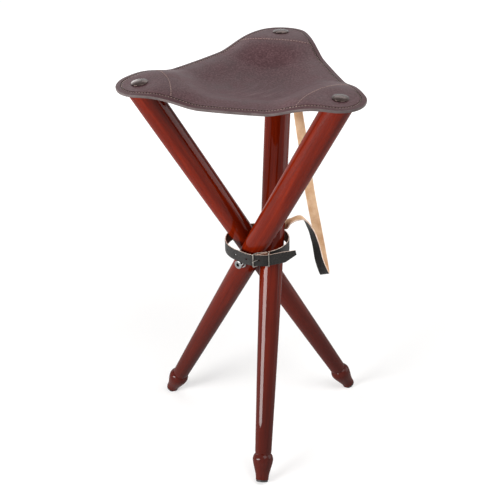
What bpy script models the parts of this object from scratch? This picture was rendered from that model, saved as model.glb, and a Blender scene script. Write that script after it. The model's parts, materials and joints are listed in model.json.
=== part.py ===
"""Folding three-legged stool with a slung leather seat.

Three turned legs cross on a three-way bolt, a buckled belt runs round the crossing, and a leather
seat is studded to the leg tops.  Metres, +Z up, floor at z = 0, origin in the middle of the footprint.
"""

import math

import bmesh
import bpy
import numpy as np
from mathutils import Matrix, Vector

# Clearances
FIT_GAP = 0.0003
BORE_GAP = 0.0003
LAYER_GAP = 0.0004

# Legs: the angle from +X that each leg's top leans towards, seen from above
LEG_LEANS = {"a": 210.0, "b": 330.0, "c": 90.0}
LEG_LEAN = math.radians(29.5)
LEG_GAP = 0.00097
LEG_UPPER = 0.331
LEG_LOWER = 0.3435
LEG_TOP_DIA = 0.040
LEG_WAIST_DIA = 0.0357
LEG_ANKLE_DIA = 0.0250
TOP_TILT = math.radians(6.0)

# Turned foot and its rubber glide
FOOT_HEIGHT = 0.038
FOOT_BULB_DIA = 0.0307
FOOT_BULB_DROP = 0.009
FOOT_BASE_DIA = 0.019
GLIDE_DIA = 0.018
GLIDE_THICK = 0.005
GLIDE_CHAMFER = 0.0008
GLIDE_LIFT = 0.0022
GLIDE_STEM_DIA = 0.005
GLIDE_STEM_LENGTH = 0.012

# Three-way bolt, washers and nuts
BOLT_DIA = 0.008
BOLT_THREAD_DIA = 0.006
SPOT_DEPTH = 0.0015
WASHER_DIA = 0.016
WASHER_THICK = 0.0012
NUT_DIA = 0.013
NUT_LENGTH = 0.009
NUT_CHAMFER = 0.0008
NUT_BORE_DEPTH = 0.0055
NUT_BORE_END_GAP = 0.0005
NUT_KEY_DIA = 0.0058
NUT_KEY_DEPTH = 0.0025

# Seat leather, its corner patches and studs
SEAT_THICK = 0.0045
SEAT_CORNER_RADIUS = 0.0425
SEAT_RIDGE_SAG = 0.0075
SEAT_BOWL_SAG = 0.018
SEAT_FLAP_DROOP = math.radians(10.5)
SEAT_RIDGE_ROUND = 0.015
SEAT_FLAT_MARGIN = 0.001
SEAT_BLEND_REACH = 0.104
STUD_INSET = 0.0085
PATCH_THICK = 0.0025
PATCH_MARGIN = 0.0095
PATCH_GAP = 0.0005
STUD_HEAD_DIA = 0.024
STUD_HEAD_RIM = 0.0008
STUD_HEAD_CROWN = 0.0028
STUD_SHANK_DIA = 0.005
STUD_SHANK_BITE = 0.025

# Belt: angles are from +X round the hub, seen from above
BELT_WIDTH = 0.0185
BELT_THICK = 0.0018
BELT_LEG_GAP = 0.0003
BAR_ANGLE = 278.5
CHAPE_ANGLE = 20.5
RIVET_ANGLE = 11.0
KEEPER_ANGLE = 16.5
RISE_ANGLE = 40.0
TAIL_LENGTH = 0.0415
TIP_LENGTH = 0.019
TIP_SHARE = 0.45
TIP_LIFT = 0.8
TAIL_DROP = 0.0025
HOLE_DIA = 0.003
HOLE_FIRST = math.radians(19.5)
HOLE_PITCH = math.radians(24.0)
HOLE_COUNT = 3
BUCKLE_WIRE_DIA = 0.002
BUCKLE_REACH = 0.007
BUCKLE_SIDE_GAP = 0.0005
BUCKLE_CORNER = 0.002
PRONG_DIA = 0.0016
PRONG_OVERHANG = 0.0015
PRONG_WRAP = math.radians(290.0)
KEEPER_WIRE_DIA = 0.0016
KEEPER_CORNER = 0.0015
RIVET_HEAD_DIA = 0.005
RIVET_HEAD_THICK = 0.0006
RIVET_SHANK_DIA = 0.0028

# Carrying strap on leg C: the places of its two screws, and its route from the hub in between
STRAP_WIDTH = 0.015
STRAP_THICK = 0.0025
STRAP_END = 0.008
STRAP_TOP_DROP = 0.031
STRAP_UPPER_TURN = math.radians(35.0)
STRAP_LOWER_ALONG = 0.0478
STRAP_LOWER_TURN = math.radians(50.0)
STRAP_LOWER_TILT = math.radians(24.0)
STRAP_ROUTE = (
    ((0.0505, 0.1430, 0.1700), (-0.90, 0.20, -0.25)),
    ((0.0598, 0.1330, 0.1135), (-0.97, -0.05, -0.20)),
    ((0.0703, 0.1200, 0.0470), (-0.97, -0.10, -0.20)),
    ((0.0826, 0.1060, -0.0095), (-0.97, -0.10, -0.20)),
    ((0.0918, 0.0950, -0.0530), (-0.97, -0.10, -0.20)),
    ((0.0978, 0.0770, -0.0745), (-0.97, 0.00, -0.20)),
    ((0.0908, 0.0585, -0.0430), (-0.90, 0.38, -0.20)),
    ((0.0838, 0.0525, -0.0035), (-0.74, 0.64, -0.22)),
    ((0.0768, 0.0470, 0.0215), (-0.58, 0.78, -0.25)),
    ((0.0642, 0.0385, 0.0426), (-0.33, 0.94, -0.08)),
    ((0.0478, 0.0297, 0.0402), (-0.12, 0.96, 0.10)),
)
STRAP_STEP = 0.007
SCREW_HEAD_DIA = 0.009
SCREW_HEAD_RIM = 0.0006
SCREW_HEAD_CROWN = 0.0022
SCREW_SHANK_DIA = 0.0035
SCREW_BITE = 0.014

# Facets
LEG_SIDES = 32
ROUND_SIDES = 24
SEAT_SIDES = 66
SEAT_RINGS = (0.2, 0.4, 0.52, 0.6, 0.66, 0.72, 0.78, 0.84, 0.9, 0.95, 1.0)
SEAT_CROWDING = 0.5
PATCH_RINGS = (0.35, 0.7, 1.0)


def heading(angle):
    """Unit vector in plan at an angle in degrees from +X."""
    turn = math.radians(angle)
    return np.array([math.cos(turn), math.sin(turn)])


def leg_plan(lean, along):
    """Place of a leg's axis in plan, from the hub axis, at a distance along the leg from its pivot."""
    return PIVOT_OFFSET * heading(lean - 90.0) + along * math.sin(LEG_LEAN) * heading(lean)


def leg_radius(along):
    """Radius of the bowed taper that runs through the top, waist and ankle diameters."""
    top = LEG_UPPER
    ankle = FOOT_HEIGHT - LEG_LOWER
    rise = (LEG_TOP_DIA - LEG_WAIST_DIA) / top
    fall = (LEG_ANKLE_DIA - LEG_WAIST_DIA) / ankle
    bow = (rise - fall) / (top - ankle)
    slope = rise - bow * top
    return 0.5 * (LEG_WAIST_DIA + slope * along + bow * along * along)


def smoothstep(low, high, value):
    """0 below low, 1 above high and an even S curve between."""
    share = np.clip((value - low) / (high - low), 0.0, 1.0)
    return share * share * (3.0 - 2.0 * share)


# Heights and places that follow from the driving dimensions; the pivots stand so far from the hub axis
# that the crossing legs keep their gap
PIVOT_OFFSET = (LEG_WAIST_DIA + LEG_GAP) * math.sqrt((1.0 + 0.25 * math.tan(LEG_LEAN) ** 2) / 3.0)
HUB_HEIGHT = (LEG_LOWER + GLIDE_THICK) * math.cos(LEG_LEAN) + GLIDE_LIFT
SEAT_MID = FIT_GAP + PATCH_THICK + PATCH_GAP + 0.5 * SEAT_THICK
STUD_SEAT = SEAT_MID + 0.5 * SEAT_THICK + FIT_GAP
SEAT_TOP_HEIGHT = HUB_HEIGHT + LEG_UPPER * math.cos(LEG_LEAN) + SEAT_MID * math.cos(TOP_TILT)
STUD_PLANS = {
    key: leg_plan(lean, LEG_UPPER) + SEAT_MID * math.sin(TOP_TILT) * heading(lean)
    for key, lean in LEG_LEANS.items()
}
STUD_REACH = float(np.linalg.norm(STUD_PLANS["c"]))
STUD_RISE = 1.5 * STUD_REACH
STUD_SHARES = np.linalg.inv(np.column_stack([list(STUD_PLANS.values()), np.ones(3)]))
CORNER_REACH = STUD_REACH - STUD_INSET
CORNER_PLANS = {key: plan * CORNER_REACH / STUD_REACH for key, plan in STUD_PLANS.items()}
SPOT_FLOOR = PIVOT_OFFSET + 0.5 * LEG_WAIST_DIA - SPOT_DEPTH
WASHER_START = SPOT_FLOOR + FIT_GAP
NUT_START = WASHER_START + WASHER_THICK + FIT_GAP
BELT_LOW = 0.5 * NUT_DIA + FIT_GAP
BELT_MID = BELT_LOW + 0.5 * BELT_WIDTH
BELT_HIGH = BELT_LOW + BELT_WIDTH


def footprint_middle():
    """Middle of the box round the seat corners and the foot glides in plan, from the hub axis."""
    rounds = [(plan, SEAT_CORNER_RADIUS) for plan in CORNER_PLANS.values()]
    rounds += [
        (leg_plan(lean, -LEG_LOWER - GLIDE_THICK), 0.5 * GLIDE_DIA) for lean in LEG_LEANS.values()
    ]
    low = np.min([middle - radius for middle, radius in rounds], axis=0)
    high = np.max([middle + radius for middle, radius in rounds], axis=0)
    return 0.5 * (low + high)


HUB_PLAN = -footprint_middle()


def belt_inner_radius():
    """Radius that clears the legs where they stand widest, at the belt's upper edge."""
    along = BELT_HIGH / math.cos(LEG_LEAN)
    middle = math.hypot(PIVOT_OFFSET, BELT_HIGH * math.tan(LEG_LEAN))
    return middle + leg_radius(along) / math.cos(LEG_LEAN) + BELT_LEG_GAP


BELT_INNER = belt_inner_radius()
LOOP_RADIUS = BELT_INNER + 0.5 * BELT_THICK
FOLD_RADIUS = 0.5 * BUCKLE_WIRE_DIA + FIT_GAP + 0.5 * BELT_THICK
BAR_RADIUS = LOOP_RADIUS + FOLD_RADIUS
CHAPE_RADIUS = LOOP_RADIUS + BELT_THICK + LAYER_GAP
OVER_RADIUS = BAR_RADIUS + FOLD_RADIUS + BELT_THICK + LAYER_GAP
TAIL_RADIUS = CHAPE_RADIUS + BELT_THICK + 2.0 * FIT_GAP + RIVET_HEAD_THICK

for item in list(bpy.data.objects):
    bpy.data.objects.remove(item, do_unlink=True)

PARTS = bpy.data.collections.new("folding_tripod_stool")
CUTTERS = bpy.data.collections.new("cutters")
bpy.context.scene.collection.children.link(PARTS)
bpy.context.scene.collection.children.link(CUTTERS)


def linear(channel):
    """One sRGB channel, 0 to 1, as linear light."""
    return channel / 12.92 if channel <= 0.04045 else ((channel + 0.055) / 1.055) ** 2.4


def finish(name, colour, roughness, metallic=0.0):
    """Principled material from a hex colour."""
    channels = [int(colour[start:start + 2], 16) / 255.0 for start in (0, 2, 4)]
    material = bpy.data.materials.new(name)
    material.use_nodes = True
    shader = material.node_tree.nodes["Principled BSDF"]
    shader.inputs["Base Color"].default_value = (*[linear(value) for value in channels], 1.0)
    shader.inputs["Roughness"].default_value = roughness
    shader.inputs["Metallic"].default_value = metallic
    return material


def frame(name, parent=None, matrix=None):
    """Empty that carries the pieces of one sub-assembly."""
    empty = bpy.data.objects.new(name, None)
    empty.empty_display_size = 0.02
    empty.parent = parent
    empty.matrix_basis = matrix or Matrix.Identity(4)
    PARTS.objects.link(empty)
    return empty


def place(name, data, material, parent=None, matrix=None):
    """Put a mesh or curve in the stool as one named piece."""
    piece = bpy.data.objects.new(name, data)
    piece.parent = parent
    piece.matrix_basis = matrix or Matrix.Identity(4)
    if material:
        data.materials.append(material)
    PARTS.objects.link(piece)
    return piece


def as_cutter(piece):
    """Move a piece to the cutters, out of the finished stool."""
    PARTS.objects.unlink(piece)
    CUTTERS.objects.link(piece)
    piece.hide_render = True
    piece.display_type = "WIRE"
    return piece


def boolean(piece, cutter, operation="DIFFERENCE"):
    """Cut a piece with a cutter, or join the two."""
    modifier = piece.modifiers.new(cutter.name, "BOOLEAN")
    modifier.operation = operation
    modifier.solver = "EXACT"
    modifier.object = cutter


def lift(distance, turn_x=0.0):
    """Matrix that moves along Z and then tips about X."""
    return Matrix.Translation((0.0, 0.0, distance)) @ Matrix.Rotation(turn_x, 4, "X")


def turned(name, profile, material, parent=None, matrix=None, sides=ROUND_SIDES, ring=False):
    """Turned solid from a profile of (radius, height) that runs down its outer side.

    A ring's profile is closed on itself; any other starts and ends on the axis.
    """
    mesh = bpy.data.meshes.new(name)
    corners = [(radius, 0.0, height) for radius, height in profile]
    edges = [(index, index + 1) for index in range(len(corners) - 1)]
    if ring:
        edges.append((len(corners) - 1, 0))
    mesh.from_pydata(corners, edges, [])
    piece = place(name, mesh, material, parent, matrix)
    screw = piece.modifiers.new("turn", "SCREW")
    screw.angle = 2.0 * math.pi
    screw.steps = sides
    screw.render_steps = sides
    screw.use_merge_vertices = True
    screw.merge_threshold = 0.00001
    screw.use_smooth_shade = True
    return piece


def drill(piece, parent, radius, low, high, matrix=None, sides=ROUND_SIDES):
    """Cut a round hole along a frame's Z between two heights."""
    mesh = bpy.data.meshes.new("drill")
    form = bmesh.new()
    bmesh.ops.create_cone(
        form,
        cap_ends=True,
        segments=sides,
        radius1=radius,
        radius2=radius,
        depth=high - low,
        matrix=Matrix.Translation((0.0, 0.0, 0.5 * (low + high))),
    )
    form.to_mesh(mesh)
    form.free()
    cutter = as_cutter(place(piece.name + "_drill", mesh, None, parent, matrix))
    boolean(piece, cutter)


def mill(piece, parent, size, matrix):
    """Cut a box out of a piece."""
    mesh = bpy.data.meshes.new("mill")
    form = bmesh.new()
    bmesh.ops.create_cube(form, size=1.0, matrix=Matrix.Diagonal((*size, 1.0)))
    form.to_mesh(mesh)
    form.free()
    cutter = as_cutter(place(piece.name + "_mill", mesh, None, parent, matrix))
    boolean(piece, cutter)


def strip(name, centres, across, widths, thickness, material, parent=None):
    """Leather strip along a path: a two-row grid with thickness, as wide at each point as given."""
    count = len(centres)
    mesh = bpy.data.meshes.new(name)
    form = bmesh.new()
    bmesh.ops.create_grid(form, x_segments=count - 1, y_segments=1, size=1.0)
    for vertex in form.verts:
        index = round(0.5 * (vertex.co.x + 1.0) * (count - 1))
        shift = math.copysign(0.5, vertex.co.y) * widths[index]
        vertex.co = centres[index] + shift * across[index]
    form.to_mesh(mesh)
    form.free()
    piece = place(name, mesh, material, parent)
    thicken(piece, thickness)
    mesh.shade_smooth()
    return piece


def thicken(piece, thickness):
    """Give an open surface its thickness, half on each side."""
    shell = piece.modifiers.new("thickness", "SOLIDIFY")
    shell.thickness = thickness
    shell.offset = 0.0
    shell.use_even_offset = True


def wire(name, points, diameter, material, parent=None, closed=False):
    """Round wire along points, with closed ends."""
    data = bpy.data.curves.new(name, "CURVE")
    data.dimensions = "3D"
    data.bevel_depth = 0.5 * diameter
    data.bevel_resolution = 2
    data.use_fill_caps = True
    spline = data.splines.new("POLY")
    spline.points.add(len(points) - 1)
    for knot, point in zip(spline.points, points):
        knot.co = (*point, 1.0)
    spline.use_cyclic_u = closed
    spline.use_smooth = True
    return place(name, data, material, parent)


def rounded_rectangle(width, height, radius, steps=4):
    """Outline of a rectangle with round corners, centred on zero."""
    outline = []
    for quarter in range(4):
        turn = 0.5 * math.pi * quarter
        middle_x = math.copysign(0.5 * width - radius, math.cos(turn + 0.25 * math.pi))
        middle_y = math.copysign(0.5 * height - radius, math.sin(turn + 0.25 * math.pi))
        for step in range(steps + 1):
            angle = turn + 0.5 * math.pi * step / steps
            outline.append((middle_x + radius * math.cos(angle), middle_y + radius * math.sin(angle)))
    return outline


def dome(diameter, rim, crown, steps=4):
    """Profile of a low domed head that stands on height 0: its crown, then down to the rim."""
    radius = 0.5 * diameter
    arc = [math.sin(0.5 * math.pi * step / steps) for step in range(steps + 1)]
    return [(radius * share, rim + crown * (1.0 - share * share)) for share in arc] + [(radius, 0.0)]


WOOD = finish("lacquered_wood", "6E1A10", 0.12)
SEAT_LEATHER = finish("seat_leather", "4E3A3A", 0.38)
PATCH_LEATHER = finish("patch_leather", "3E2C2B", 0.55)
BELT_LEATHER = finish("belt_leather", "2A2928", 0.55)
STRAP_LEATHER = finish("strap_leather", "33302E", 0.55)
STUD_STEEL = finish("stud_steel", "8A8684", 0.25, 1.0)
BOLT_STEEL = finish("bolt_steel", "9A9A9A", 0.35, 1.0)
CHROME = finish("chrome", "D8D8D8", 0.08, 1.0)
WIRE_STEEL = finish("wire_steel", "B9B6B0", 0.2, 1.0)
RUBBER = finish("rubber", "171717", 0.8)

HUB = frame("hub", None, Matrix.Translation((*HUB_PLAN, HUB_HEIGHT)))


def pivot_frame(key):
    """Frame on a leg's pivot: X is the pivot axis and Z runs up the leg."""
    lean = LEG_LEANS[key]
    offset = PIVOT_OFFSET * heading(lean - 90.0)
    turn = Matrix.Rotation(math.radians(lean - 90.0), 4, "Z") @ Matrix.Rotation(-LEG_LEAN, 4, "X")
    return frame("pivot_" + key, HUB, Matrix.Translation((*offset, 0.0)) @ turn)


def foot_profile():
    """Profile of the turned foot below the ankle, down to the floor end of the wood."""
    bulb_height = FOOT_HEIGHT - FOOT_BULB_DROP
    profile = []
    for step in range(1, 5):
        share = 0.5 - 0.5 * math.cos(math.pi * step / 4)
        radius = 0.5 * (LEG_ANKLE_DIA + (FOOT_BULB_DIA - LEG_ANKLE_DIA) * share)
        profile.append((radius, FOOT_HEIGHT - FOOT_BULB_DROP * step / 4))
    for step in range(1, 7):
        share = math.cos(0.5 * math.pi * (1.0 - step / 6))
        radius = 0.5 * (FOOT_BULB_DIA - (FOOT_BULB_DIA - FOOT_BASE_DIA) * (1.0 - math.sqrt(1.0 - share * share)))
        profile.append((radius, bulb_height * (1.0 - step / 6)))
    return profile


def build_leg(key, pivot, corner):
    """Leg with its mitred top, pivot bore, spot-face, stud hole and glide hole."""
    headroom = 0.5 * LEG_TOP_DIA
    ankle = FOOT_HEIGHT - LEG_LOWER
    sides = [LEG_UPPER + headroom] + list(np.linspace(LEG_UPPER, ankle, 13))
    profile = [(0.0, sides[0])]
    profile += [(leg_radius(along), along) for along in sides]
    profile += [(radius, height - LEG_LOWER) for radius, height in foot_profile()]
    profile.append((0.0, -LEG_LOWER))
    leg = turned("leg_" + key, profile, WOOD, pivot, sides=LEG_SIDES)

    block = 4.0 * LEG_TOP_DIA
    mill(leg, corner, (block, block, block), lift(0.5 * block))
    across = Matrix.Rotation(0.5 * math.pi, 4, "Y")
    drill(leg, pivot, 0.5 * BOLT_DIA + BORE_GAP, -LEG_WAIST_DIA, LEG_WAIST_DIA, across)
    spot = SPOT_FLOOR - PIVOT_OFFSET
    drill(leg, pivot, 0.5 * WASHER_DIA + BORE_GAP, spot, LEG_WAIST_DIA, across)
    drill(leg, corner, 0.5 * STUD_SHANK_DIA + BORE_GAP, -STUD_SHANK_BITE - FIT_GAP, headroom)
    stem = GLIDE_STEM_LENGTH + FIT_GAP - LEG_LOWER
    drill(leg, pivot, 0.5 * GLIDE_STEM_DIA + BORE_GAP, -LEG_LOWER - GLIDE_THICK, stem)
    return leg


def build_glide(key, pivot):
    """Rubber tip with a stem in the foot, worn flat where it stands on the floor."""
    radius = 0.5 * GLIDE_DIA
    stem = 0.5 * GLIDE_STEM_DIA
    profile = [
        (0.0, GLIDE_STEM_LENGTH),
        (stem, GLIDE_STEM_LENGTH),
        (stem, -FIT_GAP),
        (radius - GLIDE_CHAMFER, -FIT_GAP),
        (radius, -FIT_GAP - GLIDE_CHAMFER),
        (radius, GLIDE_CHAMFER - GLIDE_THICK),
        (radius - GLIDE_CHAMFER, -GLIDE_THICK),
        (0.0, -GLIDE_THICK),
    ]
    glide = turned("foot_glide_" + key, profile, RUBBER, pivot, lift(-LEG_LOWER))
    block = 4.0 * GLIDE_DIA
    middle = HUB_PLAN + leg_plan(LEG_LEANS[key], -LEG_LOWER - GLIDE_THICK)
    mill(glide, None, (block, block, block), Matrix.Translation((*middle, -0.5 * block)))


def build_corner(key, corner):
    """Leather patch under the seat and the stud through both, at the top of a leg."""
    turns = 2.0 * math.pi * np.arange(LEG_SIDES) / LEG_SIDES
    circle = (SEAT_CORNER_RADIUS - PATCH_MARGIN) * np.column_stack([np.cos(turns), np.sin(turns)])
    rings = [CORNER_PLANS[key] + share * circle for share in PATCH_RINGS]
    below = 0.5 * SEAT_THICK + PATCH_GAP + 0.5 * PATCH_THICK
    patch = leather("corner_patch_" + key, CORNER_PLANS[key], rings, below, PATCH_THICK, PATCH_LEATHER)
    hole = 0.5 * STUD_SHANK_DIA + BORE_GAP
    drill(patch, corner, hole, -4.0 * PATCH_THICK, STUD_SEAT)

    shank = 0.5 * STUD_SHANK_DIA
    end = -STUD_SEAT - STUD_SHANK_BITE
    profile = dome(STUD_HEAD_DIA, STUD_HEAD_RIM, STUD_HEAD_CROWN)
    profile += [(shank, 0.0), (shank, end), (0.0, end)]
    turned("seat_stud_" + key, profile, STUD_STEEL, corner, lift(STUD_SEAT))


def build_bolt(arms):
    """Three-way bolt: shouldered arms joined at the middle of the hub."""
    shoulder = 0.5 * BOLT_DIA
    thread = 0.5 * BOLT_THREAD_DIA
    end = NUT_START + NUT_BORE_DEPTH - NUT_BORE_END_GAP
    profile = [
        (0.0, end),
        (thread, end),
        (thread, SPOT_FLOOR),
        (shoulder, SPOT_FLOOR),
        (shoulder, -0.25 * BOLT_DIA),
        (0.0, -0.25 * BOLT_DIA),
    ]
    bolt = turned("three_way_bolt", profile, BOLT_STEEL, arms["a"])
    for key in ("b", "c"):
        boolean(bolt, as_cutter(turned("bolt_arm_" + key, profile, None, arms[key])), "UNION")


def build_nut(key, arm):
    """Washer in the leg's spot-face and the barrel nut outside it."""
    hole = 0.5 * BOLT_THREAD_DIA + BORE_GAP
    rim = 0.5 * WASHER_DIA
    profile = [(rim, WASHER_THICK), (rim, 0.0), (hole, 0.0), (hole, WASHER_THICK)]
    turned("pivot_washer_" + key, profile, BOLT_STEEL, arm, lift(WASHER_START), ring=True)

    radius = 0.5 * NUT_DIA
    profile = [
        (0.0, NUT_LENGTH),
        (radius - NUT_CHAMFER, NUT_LENGTH),
        (radius, NUT_LENGTH - NUT_CHAMFER),
        (radius, NUT_CHAMFER),
        (radius - NUT_CHAMFER, 0.0),
        (hole, 0.0),
        (hole, NUT_BORE_DEPTH),
        (0.0, NUT_BORE_DEPTH),
    ]
    nut = turned("pivot_nut_" + key, profile, CHROME, arm, lift(NUT_START))
    low = NUT_START + NUT_LENGTH - NUT_KEY_DEPTH
    drill(nut, arm, 0.5 * NUT_KEY_DIA, low, low + NUT_LENGTH, sides=6)


def seat_edge(turn):
    """Distance from the hub axis to the seat's edge, at an angle from the nearest corner's heading."""
    side_turn = math.radians(60.0)
    touch = math.atan2(
        SEAT_CORNER_RADIUS * math.sin(side_turn),
        CORNER_REACH + SEAT_CORNER_RADIUS * math.cos(side_turn),
    )
    if abs(turn) < touch:
        offset = CORNER_REACH * math.sin(turn)
        return CORNER_REACH * math.cos(turn) + math.sqrt(SEAT_CORNER_RADIUS**2 - offset**2)
    return (CORNER_REACH * math.cos(side_turn) + SEAT_CORNER_RADIUS) / math.cos(side_turn - abs(turn))


def seat_height(plans):
    """Height of the middle of the leather over places in plan.

    It hangs as a bowl inside the triangle of the studs, droops past the ridges between them, and lies
    flat on each tilted leg top.
    """
    shares = np.column_stack([plans, np.ones(len(plans))]) @ STUD_SHARES
    rounding = SEAT_RIDGE_ROUND / STUD_RISE
    inside = 0.5 * (shares + np.sqrt(shares**2 + rounding**2))
    beyond = STUD_RISE * np.sum(inside - shares, axis=1)
    inside /= np.sum(inside, axis=1, keepdims=True)
    ridge = 2.0 * (1.0 - np.sum(inside**2, axis=1))
    bowl = 27.0 * np.prod(inside, axis=1)
    slung = SEAT_TOP_HEIGHT - SEAT_RIDGE_SAG * ridge - SEAT_BOWL_SAG * bowl
    slung -= math.tan(SEAT_FLAP_DROOP) * beyond
    height = slung.copy()
    near = 0.5 * LEG_TOP_DIA / math.cos(LEG_LEAN - TOP_TILT) + SEAT_FLAT_MARGIN
    for key, lean in LEG_LEANS.items():
        offset = plans - STUD_PLANS[key]
        hold = 1.0 - smoothstep(near, SEAT_BLEND_REACH, np.linalg.norm(offset, axis=1))
        height += hold * (SEAT_TOP_HEIGHT - math.tan(TOP_TILT) * (offset @ heading(lean)) - slung)
    return height


def leather(name, middle, rings, below, thickness, material):
    """Leather that lies in the seat's surface, or below it: rings of places lofted from a middle one."""
    count = len(rings[0])
    plans = np.vstack([middle, *rings])
    drop = below / math.cos(TOP_TILT)
    corners = np.column_stack([plans + HUB_PLAN, seat_height(plans) - drop])
    faces = []
    for side in range(count):
        after = (side + 1) % count
        faces.append((0, 1 + side, 1 + after))
        for ring in range(len(rings) - 1):
            inner = 1 + ring * count
            outer = inner + count
            faces.append((inner + side, outer + side, outer + after, inner + after))
    mesh = bpy.data.meshes.new(name)
    mesh.from_pydata(corners.tolist(), [], faces)
    mesh.shade_smooth()
    sheet = place(name, mesh, material)
    thicken(sheet, thickness)
    return sheet


def build_seat(corners):
    """Seat leather with its rounded three-cornered edge and a hole for each stud."""
    first = math.atan2(CORNER_PLANS["c"][1], CORNER_PLANS["c"][0])
    third = 2.0 * math.pi / 3.0
    turns = 2.0 * math.pi * np.arange(SEAT_SIDES) / SEAT_SIDES
    turns -= SEAT_CROWDING * np.sin(3.0 * turns) / 3.0
    reach = np.array([seat_edge((turn + 0.5 * third) % third - 0.5 * third) for turn in turns])
    edge = reach[:, None] * np.column_stack([np.cos(first + turns), np.sin(first + turns)])
    rings = [share * edge for share in SEAT_RINGS]
    seat = leather("seat_panel", np.zeros(2), rings, 0.0, SEAT_THICK, SEAT_LEATHER)
    for corner in corners.values():
        drill(seat, corner, 0.5 * STUD_SHANK_DIA + BORE_GAP, 0.0, 2.0 * STUD_SEAT)


def ring_point(radius, angle):
    """Point at the belt's middle height, from the hub, at a radius and an angle."""
    return np.array([*(radius * heading(angle)), BELT_MID])


def bar_axes():
    """Round-the-hub and outward unit vectors at the buckle bar."""
    outward = np.array([*heading(BAR_ANGLE), 0.0])
    round_hub = np.array([*heading(BAR_ANGLE + 90.0), 0.0])
    return round_hub, outward


def over_radius(angle):
    """Radius of the belt's outer run, at an angle past the bar: up over the bar, then down to the tail."""
    climb = smoothstep(-RISE_ANGLE, -4.0, angle)
    settle = smoothstep(4.0, KEEPER_ANGLE, angle)
    return LOOP_RADIUS + (OVER_RADIUS - LOOP_RADIUS) * climb + (TAIL_RADIUS - OVER_RADIUS) * settle


def tail_sink(angle):
    """Step from the belt's middle height down to the tail's, at an angle past the bar."""
    return np.array([0.0, 0.0, -TAIL_DROP * smoothstep(0.0, KEEPER_ANGLE - 1.0, angle)])


def belt_path():
    """Belt's centre line: the folded end, round the bar, once round the legs and out to the tail."""
    round_hub, outward = bar_axes()
    bar = ring_point(BAR_RADIUS, BAR_ANGLE)
    path = []
    for angle in np.linspace(CHAPE_ANGLE, 2.0, 9):
        spread = 1.0 - smoothstep(2.0, RIVET_ANGLE - 2.0, angle)
        radius = CHAPE_RADIUS + (BAR_RADIUS + FOLD_RADIUS - CHAPE_RADIUS) * spread
        path.append(ring_point(radius, BAR_ANGLE + angle))
    for turn in np.linspace(0.0, math.pi, 9):
        path.append(bar + FOLD_RADIUS * (math.cos(turn) * outward - math.sin(turn) * round_hub))
    for angle in np.arange(4.0, 360.0 - RISE_ANGLE, 5.0):
        path.append(ring_point(LOOP_RADIUS, BAR_ANGLE + angle))
    last = KEEPER_ANGLE + 3.0
    for angle in np.arange(-RISE_ANGLE, last, 2.5):
        path.append(ring_point(over_radius(angle), BAR_ANGLE + angle) + tail_sink(angle))
    leave = np.array([*heading(BAR_ANGLE + last + 90.0), 0.0])
    start = ring_point(TAIL_RADIUS, BAR_ANGLE + last) + tail_sink(last)
    for step in range(13):
        path.append(start + leave * TAIL_LENGTH * step / 12)
    return np.array(path)


def upright(radius, angle):
    """Matrix, from the hub, at the belt's middle height: Z points outward and Y upward."""
    outward = Vector((*heading(angle), 0.0))
    up = Vector((0.0, 0.0, 1.0))
    side = up.cross(outward)
    turn = Matrix((side, up, outward)).transposed().to_4x4()
    return Matrix.Translation(Vector(ring_point(radius, angle))) @ turn


def build_belt():
    """Leather belt with its folded end, prong slots, rivet hole, row of holes and pointed tail."""
    path = belt_path()
    steps = np.linalg.norm(np.diff(path, axis=0), axis=1)
    left = np.concatenate([np.cumsum(steps[::-1])[::-1], [0.0]])
    point = np.clip(1.0 - left / TIP_LENGTH, 0.0, 1.0)
    widths = BELT_WIDTH * (1.0 - (1.0 - TIP_SHARE) * point)
    path[:, 2] += 0.5 * TIP_LIFT * (BELT_WIDTH - widths)
    across = np.tile((0.0, 0.0, 1.0), (len(path), 1))
    belt = strip("waist_belt", path, across, widths, BELT_THICK, BELT_LEATHER, HUB)

    bar = Matrix.Translation(Vector(ring_point(BAR_RADIUS, BAR_ANGLE)))
    eye = 0.5 * BUCKLE_WIRE_DIA + FIT_GAP + PRONG_DIA + LAYER_GAP
    slot = 0.5 * PRONG_DIA + LAYER_GAP
    drill(belt, HUB, eye, -slot, slot, bar)

    high = OVER_RADIUS + 2.0 * BELT_THICK
    length = BUCKLE_REACH - BUCKLE_WIRE_DIA + eye
    tail_slot = upright(0.5 * (BAR_RADIUS + high), BAR_ANGLE) @ Matrix.Translation((eye - 0.5 * length, 0.0, 0.0))
    mill(belt, HUB, (length, 2.0 * slot, high - BAR_RADIUS), tail_slot)
    for count in range(HOLE_COUNT):
        angle = BAR_ANGLE - math.degrees(HOLE_FIRST + HOLE_PITCH * count)
        drill(belt, HUB, 0.5 * HOLE_DIA, -4.0 * BELT_THICK, 4.0 * BELT_THICK, upright(LOOP_RADIUS, angle))
    rivet = upright(0.0, BAR_ANGLE + RIVET_ANGLE)
    hole = 0.5 * RIVET_SHANK_DIA + BORE_GAP
    drill(belt, HUB, hole, BELT_INNER - BELT_THICK, CHAPE_RADIUS + 0.5 * BELT_THICK + FIT_GAP, rivet)


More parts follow.
